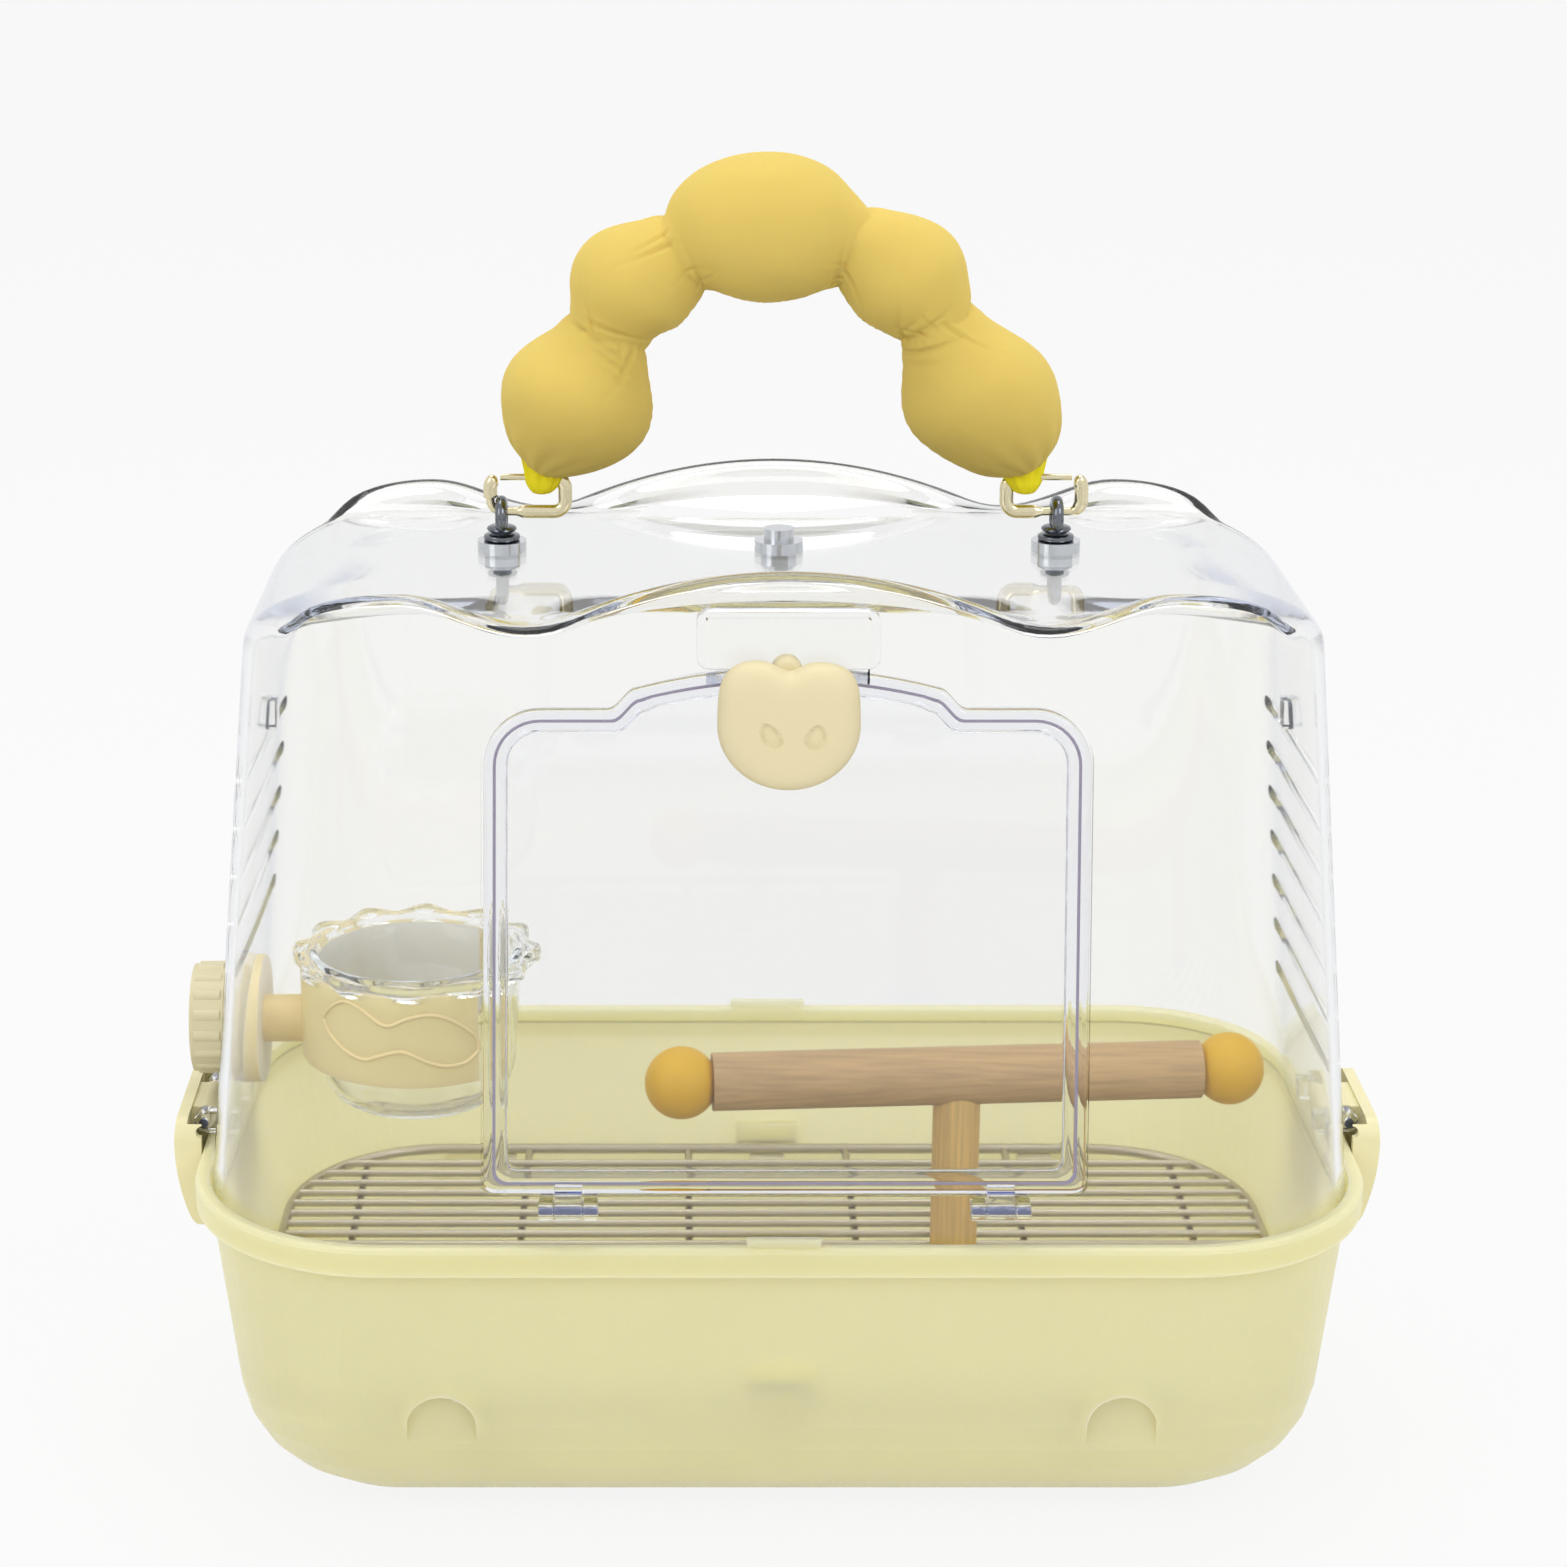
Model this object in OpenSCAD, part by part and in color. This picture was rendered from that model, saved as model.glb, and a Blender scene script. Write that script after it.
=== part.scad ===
// Bird travel carrier: a moulded tub with a clear lift-off cover, a drop-down front door,
// side latches, a wire grate with a T perch, a clip-on feeder cup and a stuffed handle.
// Millimetres, Z up, origin on the table under the middle of the tub.

/* [Tub] */
// Width over the rim
rim_w = 310; // [290:1:330]
// Depth over the rim
rim_d = 175; // [165:1:195]
// Plan corner radius of the rim
rim_r = 53; // [46:1:58]
// Height of the rim top above the table
rim_z = 88; // [84:1:96]
// Height of the rim band
rim_h = 8; // [7:0.5:10]
// Overhang of the rim band past the tub wall
rim_over = 4; // [3:0.5:5]
// Thickness of the upstand round the cover seat
rim_wall = 4; // [3:0.5:5]
// Depth of the cover seat below the rim top
seat_drop = 4; // [3:0.5:5]
// Wall of the tub
tub_wall = 2.5; // [2:0.1:3]
// Radius between the end walls and the floor
end_r = 41; // [34:1:50]
// Radius between the long walls and the floor
long_r = 43; // [34:1:50]
// Plan corner radius of the floor
floor_r = 24; // [18:1:30]

/* [Cover] */
// Height of the flat part of the roof
roof_z = 245; // [235:1:260]
// Wall of the clear cover
cover_wall = 2.4; // [2:0.1:3]
// Gap between the cover foot and the rim upstand
seat_gap = 0.4; // [0.3:0.1:0.8]
// Inward lean of each cover wall from foot to roof
cover_lean = 14; // [8:1:18]
// Rise of the middle wave above the roof
wave_rise = 12.5; // [6:0.5:16]
// Half width of the middle wave
wave_half = 64; // [58:1:70]
// Half width of the arched part of the middle wave
wave_arch = 54; // [40:1:56]
// Rise of the outer humps above the roof
hump_rise = 6.5; // [3:0.5:9]
// Distance of the outer humps from the middle
hump_x = 95; // [88:1:100]
// Thickness of a wave ridge where it leaves the roof
ridge_base = 12; // [10:0.5:16]
// Thickness of a wave ridge at the top of the middle wave
ridge_top = 5.4; // [5.2:0.1:8]
// Air slots in the right wall
slot_count = 7; // [4:1:7]
// Height of one air slot
slot_h = 4; // [3:0.5:5]
// Length of one air slot
slot_len = 78; // [40:1:84]
// Spacing of the air slots
slot_pitch = 13; // [10:0.5:13]

/* [Door] */
// Door width at its bottom edge
door_w = 152; // [130:0.5:165]
// Door width under its shoulders
door_top_w = 149.5; // [126:0.5:151]
// Height of the door bottom edge
door_z = 101; // [99:0.5:110]
// Height of the door shoulders
shoulder_z = 225; // [215:0.5:227]
// Radius of the door shoulders
shoulder_r = 14; // [8:0.5:20]
// Rise of the door arch above its shoulders
arch_rise = 10; // [7:0.5:11]
// Half width of the door arch
arch_half = 37; // [34:0.5:46]
// Thickness of the door panel
door_t = 2.2; // [1.6:0.1:2.4]
// Width of the rib round the door
rib_w = 5.5; // [4:0.5:8]
// Gap between the door and its opening
door_gap = 0.6; // [0.4:0.1:1]
// Distance of each door hinge from the middle
hinge_x = 54.5; // [40:0.5:60]
// Diameter of the door hinge pins
hinge_pin_d = 2; // [1.6:0.1:2.2]

/* [Door latch] */
// Width of the latch knob
knob_w = 36.5; // [33:0.5:40]
// Height of the latch knob
knob_h = 31.5; // [28:0.5:33]
// Radius of the two upper shoulders of the latch knob
knob_shoulder = 12.5; // [10:0.5:13.5]
// Height of the latch pivot
knob_z = 223; // [220:0.5:224]
// Half width inside the keeper above the door
keeper_half = 20; // [16:0.5:22]

/* [Side latches] */
// Width of a side latch
clip_w = 44; // [36:1:50]
// How far a side latch stands out past the rim
clip_out = 7.7; // [7:0.1:10]
// Radius of the bowed outer face of a side latch
clip_bow = 60; // [56:1:66]
// Thickness of a side latch
clip_t = 3.2; // [2.6:0.1:3.4]
// Diameter of a side latch pin
clip_pin_d = 2.6; // [2:0.1:2.8]

/* [Grate and perch] */
// Height of the grate frame wire
grate_z = 46; // [40:1:52]
// Gap between the grate frame and the end walls of the tub
grate_gap_x = 0.9; // [0.6:0.1:4]
// Gap between the grate frame and the long walls of the tub
grate_gap_y = 2.8; // [1:0.1:6]
// Corner radius of the grate frame
grate_r = 45; // [38:1:50]
// Grate frame wire diameter
frame_d = 3; // [2.4:0.1:3.4]
// Grate bar wire diameter
wire_d = 2.2; // [1.8:0.1:2.4]
// Spacing of the long grate wires
wire_pitch = 7; // [6.5:0.5:9]
// Number of long grate wires
wire_count = 18; // [10:2:18]
// Perch bar diameter
bar_d = 16; // [12:0.5:20]
// Perch bar length
bar_len = 135; // [110:1:140]
// Height of the perch bar axis
bar_z = 100; // [85:1:120]
// Perch post diameter
post_d = 13; // [10:0.5:14]
// Distance of the perch post from the middle
post_x = 50; // [30:1:54]
// Perch end ball diameter
ball_d = 20; // [18:0.5:24]

/* [Feeder] */
// Height of the feeder stem
feeder_z = 117; // [114:1:126]
// Distance of the cup centre from the middle
cup_x = 98; // [90:1:102]
// Cup diameter under its rim
cup_d = 57; // [48:1:60]
// Cup height
cup_h = 43; // [36:1:46]
// Cup wall
cup_wall = 2; // [1.6:0.1:2.6]
// Diameter over the scalloped cup rim
cup_rim_d = 67; // [64:1:70]
// Mouth angle of the open band round the cup
band_mouth = 110; // [70:1:150]
// Feeder stem diameter
stem_d = 8; // [6:0.5:9]
// Feeder hand nut diameter
nut_d = 31; // [27:1:33]

/* [Handle] */
// Distance of each handle stud from the middle
stud_x = 73.5; // [68:0.5:78]
// Distance of the studs behind the middle of the roof
stud_y = 12; // [0:1:18]
// Height of the handle swing axis above the roof
eye_rise = 9.5; // [9:0.5:12]
// Thickness scale of the stuffed handle
puff = 1; // [0.9:0.01:1.05]

/* [Hidden] */

$fn = 48;
thin = 0.01;
eps = 0.05;

// Heights that follow from the rim
band_z = rim_z - rim_h;
seat_z = rim_z - seat_drop;
tub_slope_x = 0.18;
tub_slope_y = 0.06;
tub_top_x = rim_w / 2 - rim_over;
tub_top_y = rim_d / 2 - rim_over;
loft_top = max(end_r, long_r);

// Half width of the tub at a height, with the wall taken off when inset is given
function tub_half(z, top, slope, r, inset) =
    z >= r ? top - slope * (band_z - z) - inset
    : top - slope * (band_z - r) - r + sqrt(max(0, pow(r - inset, 2) - pow(r - z, 2)));
function tub_x(z, inset = 0) = tub_half(z, tub_top_x, tub_slope_x, end_r, inset);
function tub_y(z, inset = 0) = tub_half(z, tub_top_y, tub_slope_y, long_r, inset);
function tub_r(z, inset = 0) =
    floor_r + (rim_r - rim_over - floor_r) * z / band_z - inset;

// Cover walls: foot size, lean and half sizes at a height
foot_x = rim_w / 2 - rim_wall - seat_gap;
foot_y = rim_d / 2 - rim_wall - seat_gap;
foot_r = rim_r - rim_wall - seat_gap;
crown_r = foot_r - 8.6;
cover_tall = roof_z - seat_z;
lean_angle = atan(cover_lean / cover_tall);
function cover_x(z) = foot_x - cover_lean * (z - seat_z) / cover_tall;
function cover_y(z) = foot_y - cover_lean * (z - seat_z) / cover_tall;
function cover_r(z) = foot_r + (crown_r - foot_r) * (z - seat_z) / cover_tall;
crest_z = roof_z + wave_rise;
corner_drop = 12;
corner_z = roof_z - corner_drop;
corner_x = cover_x(corner_z);
flat_x = corner_x - 32;
ramp = 14;

// Door hinge line and the closed door
hinge_r = 2.4;
hinge_len = 15;
hinge_z = door_z - hinge_r - 1.1;
hinge_y = -(cover_y(hinge_z) + hinge_r + 0.5);
knuckle_len = 7;
run_gap = 0.3;
run_fit = 0.16;
pin_fit = 0.08;
rib_out = 1.1;
rib_in = 1.1;

// Turn latch: layers counted outward from the cover wall
keeper_deep = 3.9;
keeper_lip = 1.8;
tongue_out = 1.5;
tongue_t = 1.8;
knob_back = keeper_deep + keeper_lip + 0.5;
knob_t = 9.6;
keeper_z = shoulder_z + arch_rise + 0.9;
keeper_tall = 14.3;
tongue_reach = keeper_z - knob_z + 3.5;
screw_d = 3;

// Side latch hinge line
clip_lug_r = 2.8;
clip_x = rim_w / 2 + clip_out;
clip_pin_z = rim_z + 3.8;
clip_pin_x = rim_w / 2 + 0.5;
clip_top_z = clip_pin_z + 3.2;
clip_low_z = rim_z - 25;
clip_in_bow = 87;
clip_side_t = 2.2;
clip_gap = 0.4;
clip_barrel = 17.4;
clip_lug_w = 6;

// Grate and perch: width and depth over the frame wire centres follow from the tub
frame_foot_z = grate_z - frame_d / 2;
grate_w = 2 * (tub_x(frame_foot_z, tub_wall) - grate_gap_x) - frame_d;
grate_d = 2 * (tub_y(frame_foot_z, tub_wall) - grate_gap_y) - frame_d;
bar_wire_z = frame_foot_z + wire_d / 2;
long_wire_z = bar_wire_z + wire_d;
cross_x = [23.5, 71, 119];
perch_y = wire_pitch / 2;
perch_yaw = 4;
ball_flat = ball_d * 0.425;
post_foot_z = long_wire_z + wire_d / 2;
washer_z = long_wire_z - wire_d / 2;

// Feeder
wall_out_x = cover_x(feeder_z - nut_d / 2);
nut_x = wall_out_x + 0.4;
nut_t = 9;
washer_d = 22;
neck_d = 13;
flange_d = 35;
flange_x = cover_x(feeder_z + flange_d / 2) - cover_wall - 3;
cup_top_z = feeder_z + 21;
cup_rim_t = 3;
band_t = 3;
band_gap = 0.4;
band_tall = 25.5;
cup_foot_z = cup_top_z - cup_h;

// Handle
axis_z = roof_z + eye_rise;
eye_r = 3.8;
eye_wire = 1.3;
snap_wire = 1.1;
snap_len = 22;
snap_tall = 11.5;
snap_bend = 3;
gate_len = 9;
// The bottom run of a snap ring is drawn up against the top of the eye
snap_low_z = axis_z + eye_r - eye_wire - snap_wire - run_gap;
snap_top_z = snap_low_z + snap_tall - 2 * snap_wire;

// Rounded rectangle from true circles and squares
module rounded(w, d, r, n = 48) {
    square([w - 2 * r, d], center = true);
    square([w, d - 2 * r], center = true);
    for (sx = [-1, 1], sy = [-1, 1])
        translate([sx * (w / 2 - r), sy * (d / 2 - r)]) circle(r, $fn = n);
}

// A thin slice of a rounded rectangle, for lofts
module slice(z, hx, hy, r, n = 32) {
    translate([0, 0, z]) linear_extrude(thin) rounded(2 * hx, 2 * hy, r, n);
}

// Turns a drawing of X and Z into a slab along Y
module along_y(len) {
    translate([0, len / 2, 0]) rotate([90, 0, 0]) linear_extrude(len) children();
}

// Turns a drawing of Y and Z into a slab along X
module along_x(len) {
    translate([-len / 2, 0, 0]) rotate([90, 0, 90]) linear_extrude(len) children();
}

// Rod along X or along Y, centred
module rod_x(d, len, n = 32) {
    rotate([0, 90, 0]) cylinder(d = d, h = len, center = true, $fn = n);
}
module rod_y(d, len, n = 32) {
    rotate([90, 0, 0]) cylinder(d = d, h = len, center = true, $fn = n);
}

// Places a drawing on the outer face of the front wall: x across, y up, z outward
module on_front(z) {
    translate([0, -cover_y(z), z]) rotate([90 - lean_angle, 0, 0]) children();
}

// ---------------------------------------------------------------- tub
loft_steps = 8;
function loft_z(i, low) = low + (loft_top - low) * (1 - cos(i * 90 / loft_steps));

module tub_body(inset, low, n) {
    hull() {
        for (i = [0 : loft_steps])
            slice(loft_z(i, low), tub_x(loft_z(i, low), inset), tub_y(loft_z(i, low), inset),
                tub_r(loft_z(i, low), inset), n);
        slice(band_z, tub_x(band_z, inset), tub_y(band_z, inset), tub_r(band_z, inset), n);
    }
}

// Sweeps a drawing round a rounded rectangle; x = 0 is the outer edge, y is height
module round_sweep(w, d, r) {
    for (sx = [-1, 1], sy = [-1, 1])
        translate([sx * (w / 2 - r), sy * (d / 2 - r), 0])
            rotate([0, 0, sx > 0 ? (sy > 0 ? 0 : -90) : (sy > 0 ? 90 : 180)])
                rotate_extrude(angle = 90, $fn = 96) translate([r, 0]) children();
    for (a = [0, 180]) rotate([0, 0, a]) {
        translate([0, d / 2, 0]) along_x(w - 2 * r) children();
        rotate([0, 0, -90]) translate([0, w / 2, 0]) along_x(d - 2 * r) children();
    }
}

// Rim: outer band, upstand round the cover foot, and the seat inside it
module rim_band() {
    in_x = -(rim_over + tub_wall + 0.15);
    round_sweep(rim_w, rim_d, rim_r) {
        polygon([
            [-0.8, band_z], [-0.2, band_z + 0.2], [0, band_z + 0.8], [0, rim_z - 1.4],
            [-0.4, rim_z - 0.5], [-1.3, rim_z], [0.7 - rim_wall, rim_z],
            [-rim_wall, rim_z - 0.7], [-rim_wall, seat_z], [in_x, seat_z], [in_x, band_z],
            [0.3 - rim_over - tub_wall, band_z], [0.3 - rim_over - tub_wall, band_z - 1.5],
            [-0.3 - rim_over, band_z - 1.5], [-0.3 - rim_over, band_z]]);
    }
}

// Arched dent pressed into a wall: width, height and how far it goes in
module arch_block(w, h, deep) {
    along_y(deep) {
        translate([-w / 2, 0]) square([w, h - w / 2]);
        translate([0, h - w / 2]) circle(d = w);
    }
}

dent_x = 88;
dent_w = 18;
dent_z = 21;
dent_h = 22.5;
dent_deep = 2.5;

module front_dents(grow) {
    for (sy = [-1, 1], sx = [-1, 1])
        translate([sx * dent_x, 0, dent_z - grow])
            translate([0, sy * (tub_y(dent_z + dent_h) - dent_deep + 10 - grow / 2), 0])
                arch_block(dent_w + 2 * grow, dent_h + 2 * grow, 20 + grow);
}

// Ledges that carry the grate frame
ledge_t = 3;
ledge_w = 10;
module grate_ledges() {
    top = frame_foot_z;
    reach = 4;
    in_y = grate_d / 2 - reach;
    in_x = grate_w / 2 - reach;
    for (a = [0, 180]) rotate([0, 0, a]) {
        for (x = [-80, 0, 80]) translate([x - ledge_w / 2, in_y, top - ledge_t])
            cube([ledge_w, tub_y(top) - tub_wall / 2 - in_y, ledge_t]);
        translate([in_x, -ledge_w / 2, top - ledge_t])
            cube([tub_x(top - ledge_t) - tub_wall / 2 - in_x, ledge_w, ledge_t]);
    }
}

// Guide lugs that keep the grate from sliding to and fro
module grate_guides() {
    guide_w = 18;
    low = grate_z + 1;
    in_y = grate_d / 2 + frame_d / 2 + 0.6;
    for (sy = [-1, 1])
        translate([-guide_w / 2, sy > 0 ? in_y : -tub_y(low) + tub_wall / 2, low])
            cube([guide_w, tub_y(low) - tub_wall / 2 - in_y, 6]);
}

module rim_tabs() {
    tab_h = 2;
    tab_t = rim_wall - 1.6;
    for (s = [[-1, 19], [1, 22]])
        translate([0, s[0] * (rim_d / 2 - rim_wall / 2 - 0.4), rim_z - 1])
            linear_extrude(tab_h + 1) rounded(s[1], tab_t, 1);
}

module tub() color([0.88, 0.85, 0.66]) {
    difference() {
        tub_body(0, 0, 64);
        difference() {
            tub_body(tub_wall, tub_wall, 64);
            front_dents(tub_wall);
        }
        front_dents(0);
        tub_mouth();
    }
    rim_band();
    rim_tabs();
    grate_ledges();
    grate_guides();
}

// Opens the mouth of the tub wall
module tub_mouth() {
    translate([0, 0, band_z - eps]) linear_extrude(1)
        rounded(2 * (tub_top_x - tub_wall), 2 * (tub_top_y - tub_wall), rim_r - rim_over - tub_wall, 64);
}

// ---------------------------------------------------------------- cover
curve_steps = 12;

// Top outline of the flat roof: straight, then an elliptical shoulder to each end wall
function roof_line(inset) = [
    for (s = [-1, 1]) each [
        for (i = [0 : curve_steps])
            let (a = s < 0 ? 90 * i / curve_steps : 90 - 90 * i / curve_steps,
                 rx = corner_x - flat_x - inset, rz = corner_drop - inset)
            [s * (flat_x + rx * cos(a)), corner_z + rz * sin(a)]
    ]
];

// Top outline of a wave ridge: middle wave, two humps and an elliptical shoulder
hump_z = roof_z + hump_rise;
wave_bend = wave_rise / (wave_arch * wave_half);
wave_foot = wave_half - wave_arch;
function wave_z(x) =
    abs(x) < wave_arch ? crest_z - wave_bend * x * x
    : abs(x) < wave_half ? roof_z + wave_bend * wave_arch / wave_foot * pow(wave_half - abs(x), 2)
    : roof_z + hump_rise * (1 - cos(180 * (abs(x) - wave_half) / (hump_x - wave_half))) / 2;
function wave_line(inset) = [
    each [
        for (i = [0 : curve_steps])
            let (a = 90 * i / curve_steps)
            [-(hump_x + (corner_x - hump_x - inset) * cos(a)),
             corner_z + (hump_z - corner_z - inset) * sin(a)]
    ],
    each [for (i = [1 : 41]) let (x = -hump_x + 2 * hump_x * i / 42) [x, wave_z(x) - inset]],
    each [
        for (i = [0 : curve_steps])
            let (a = 90 - 90 * i / curve_steps)
            [hump_x + (corner_x - hump_x - inset) * cos(a),
             corner_z + (hump_z - corner_z - inset) * sin(a)]
    ]
];

module under_line(line) {
    far = rim_w / 2 + 10;
    low = seat_z - 5;
    polygon(concat([[-far, low], [-far, corner_z]], line, [[far, corner_z], [far, low]]));
}

module cover_walls(inset) {
    top = crest_z + 4;
    low = inset > 0 ? seat_z - 1 : seat_z;
    hull() {
        slice(low, cover_x(low) - inset, cover_y(low) - inset, cover_r(low) - inset, 72);
        slice(top, cover_x(top) - inset, cover_y(top) - inset, cover_r(top) - inset, 72);
    }
}

// Cross-section of the two ridges: wider where they leave the roof
module ridge_zone(inset) {
    yb = cover_y(roof_z) - ridge_base + inset;
    yt = cover_y(crest_z) - ridge_top + inset;
    for (s = [-1, 1])
        polygon([[s * yb, roof_z - ramp], [s * (rim_d / 2), roof_z - ramp], [s * (rim_d / 2), crest_z + 2],
            [s * yt, crest_z + 2], [s * yt, crest_z], [s * yb, roof_z - inset]]);
}

module cover_form(inset) {
    intersection() {
        cover_walls(inset);
        union() {
            along_y(rim_d) under_line(roof_line(inset));
            intersection() {
                along_y(rim_d) under_line(wave_line(inset));
                along_x(rim_w) ridge_zone(inset);
            }
        }
    }
}

// Air slots: the left wall has none where the feeder sits
slot_top_z = 196;
module air_slots() {
    for (sx = [-1, 1], i = [0 : slot_count - 1])
        let (z = slot_top_z - slot_pitch * i)
        if (sx > 0 || z - slot_h / 2 > feeder_z + nut_d / 2 + 4)
            translate([sx * (cover_x(z) - cover_wall / 2), 0, z])
                rotate([90, 0, 90]) translate([0, 0, -cover_wall * 2])
                    linear_extrude(cover_wall * 4) rounded(slot_len, slot_h, slot_h / 2 - 0.01, 24);
}

module keeper_block() {
    side = 2.4;
    on_front(keeper_z) translate([0, keeper_tall / 2, -0.6])
        linear_extrude(keeper_deep + keeper_lip + 0.6)
            rounded(2 * (keeper_half + side), keeper_tall, 3);
}

module keeper_space() {
    top_t = 2.2;
    on_front(keeper_z) translate([-keeper_half, -5, 0])
        cube([2 * keeper_half, keeper_tall + 5 - top_t, keeper_deep]);
}

module hinge_lugs() {
    lug_len = (hinge_len - knuckle_len) / 2 - run_gap;
    for (sx = [-1, 1], st = [-1, 1])
        translate([sx * hinge_x + st * (knuckle_len / 2 + run_gap + lug_len / 2), hinge_y, hinge_z]) {
            rod_x(2 * hinge_r, lug_len);
            translate([-lug_len / 2, 0, -hinge_r])
                cube([lug_len, hinge_r + 0.5 + cover_wall / 2, 2 * hinge_r]);
        }
}

module latch_lugs() {
    for (sx = [-1, 1], sy = [-1, 1])
        translate([sx * clip_pin_x, sy * (clip_barrel / 2 + run_gap + clip_lug_w / 2), clip_pin_z]) {
            rod_y(2 * clip_lug_r, clip_lug_w);
            reach = clip_pin_x - cover_x(clip_pin_z) + cover_wall / 2;
            translate([sx > 0 ? -reach : 0, -clip_lug_w / 2, -clip_lug_r])
                cube([reach, clip_lug_w, clip_lug_r + 2]);
        }
}

module wall_bosses() {
    boss = 8;
    z = slot_top_z + 8;
    for (sx = [-1, 1])
        translate([sx * (cover_x(z) - cover_wall - 1), 0, z]) cube([4, boss, boss], center = true);
}

module cover_shell() color([0.80, 0.86, 0.95, 0.45])
    difference() {
        union() {
            difference() {
                union() {
                    cover_form(0);
                    keeper_block();
                }
                cover_form(cover_wall);
                on_front(seat_z) translate([0, 0, -cover_wall - 4])
                    linear_extrude(cover_wall + 8) polygon(door_line(-door_gap));
            }
            hinge_lugs();
            latch_lugs();
            wall_bosses();
        }
        keeper_space();
        air_slots();
        for (sx = [-1, 1]) {
            translate([sx * hinge_x, hinge_y, hinge_z]) rod_x(hinge_pin_d + pin_fit, hinge_len + 2);
            translate([sx * clip_pin_x, 0, clip_pin_z]) rod_y(clip_pin_d + pin_fit, clip_w);
        }
        translate([-cover_x(feeder_z), 0, feeder_z]) rod_x(stem_d + 1, 20);
        for (x = [-stud_x, 0, stud_x])
            translate([x, stud_y, roof_z - cover_wall - 1]) cylinder(d = shank_d + 0.3, h = cover_wall + 2);
    }

// ---------------------------------------------------------------- door
// Door outline on the front wall, drawn from the cover foot; inset shrinks it evenly
up = 1 / cos(lean_angle);
function front_v(z) = (z - seat_z) * up;
ogee_x = 7.2;
ogee_z = 5.2;
function door_half_line(inset) =
    let (low = front_v(door_z) + inset,
         sh = front_v(shoulder_z) - inset,
         wb = door_w / 2 - inset, wt = door_top_w / 2 - inset,
         r = shoulder_r - inset, foot = 3,
         top = arch_rise - ogee_z,
         arch_r = (arch_half * arch_half + top * top) / (2 * top))
    [
        each [for (i = [0 : 4]) let (a = -90 + 90 * i / 4)
            [wb - foot + foot * cos(a), low + foot + foot * sin(a)]],
        each [for (i = [0 : 8]) let (a = 90 * i / 8)
            [wt - r + r * cos(a), sh - r + r * sin(a)]],
        each [for (i = [0 : 5])
            [arch_half + ogee_x - inset * 0.4 - ogee_x * i / 5,
             sh + ogee_z * (1 - cos(180 * i / 5)) / 2]],
        each [for (i = [1 : 9]) let (x = (arch_half - inset * 0.4) * (1 - i / 9))
            [x, sh + ogee_z + top - arch_r + sqrt(arch_r * arch_r - x * x)]]
    ];
function door_line(inset) =
    let (right = door_half_line(inset), n = len(right))
    concat(right, [for (i = [n - 2 : -1 : 0]) [-right[i][0], right[i][1]]]);

module door_panel() color([0.82, 0.88, 0.96, 0.45])
    difference() {
        union() {
            on_front(seat_z) translate([0, 0, -door_t - 0.1])
                linear_extrude(door_t) polygon(door_line(0));
            on_front(seat_z) translate([0, 0, -door_t - 0.1 - rib_in])
                linear_extrude(door_t + 0.1 + rib_in + rib_out) difference() {
                    polygon(door_line(0));
                    polygon(door_line(rib_w));
                }
            for (sx = [-1, 1]) translate([sx * hinge_x, hinge_y, hinge_z]) {
                rod_x(2 * hinge_r, knuckle_len);
                translate([-knuckle_len / 2, 0, 0])
                    cube([knuckle_len, hinge_r + 0.2, door_z - hinge_z + 2.4]);
            }
        }
        for (sx = [-1, 1])
            translate([sx * hinge_x, hinge_y, hinge_z]) rod_x(hinge_pin_d + run_fit, knuckle_len + 2);
        on_front(knob_z) translate([0, 0, -6]) cylinder(d = screw_d + run_fit, h = 12);
    }

module door_hinge_pins() color("silver")
    for (sx = [-1, 1]) translate([sx * hinge_x, hinge_y, hinge_z]) rod_x(hinge_pin_d, hinge_len);

// ---------------------------------------------------------------- door latch
// Disc with rounded edges
module knob_pad(r) {
    soft = 4.2;
    rotate_extrude($fn = 32) union() {
        square([r - soft, knob_t]);
        translate([0, soft]) square([r, knob_t - 2 * soft]);
        translate([r - soft, soft]) circle(soft, $fn = 20);
        translate([r - soft, knob_t - soft]) circle(soft, $fn = 20);
    }
}

// Cushion with two shoulders, a dip between them and two oval dimples
module knob_cushion() {
    r = knob_h / 2;
    difference() {
        hull() {
            knob_pad(r);
            for (sx = [-1, 1])
                translate([sx * (knob_w / 2 - knob_shoulder), r - knob_shoulder, 0]) knob_pad(knob_shoulder);
        }
        translate([0, r + 2.8, -1]) cylinder(r = 4.4, h = knob_t + 2);
        for (sx = [-1, 1]) translate([sx * 5.6, 0, knob_t]) {
            translate([0, 1.1, -0.8]) cylinder(r1 = 1.9, r2 = 2.3, h = 1);
            translate([0, -1.1, -0.8]) cylinder(r1 = 1.9, r2 = 2.3, h = 1);
            translate([0, 0, -0.3]) cube([4, 2.2, 1], center = true);
        }
    }
}

module latch_knob() color([0.93, 0.90, 0.72]) on_front(knob_z)
    difference() {
        union() {
            translate([0, 0, knob_back]) knob_cushion();
            translate([0, 0, tongue_out]) cylinder(d = 10, h = knob_back - tongue_out + 1);
            translate([-4, 0, tongue_out]) cube([8, tongue_reach - 3, tongue_t]);
            translate([0, tongue_reach - 4, tongue_out]) cylinder(r = 4, h = tongue_t);
        }
        translate([0, 0, tongue_out - 1]) cylinder(d = screw_d, h = knob_back + 3);
    }

module latch_screw() color("silver") on_front(knob_z) {
    head_z = -door_t - 0.1 - 0.4;
    translate([0, 0, head_z - 1.8]) cylinder(d = 7, h = 1.8);
    translate([0, 0, head_z]) cylinder(d = screw_d, h = tongue_out - head_z + knob_back - 2);
}

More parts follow.
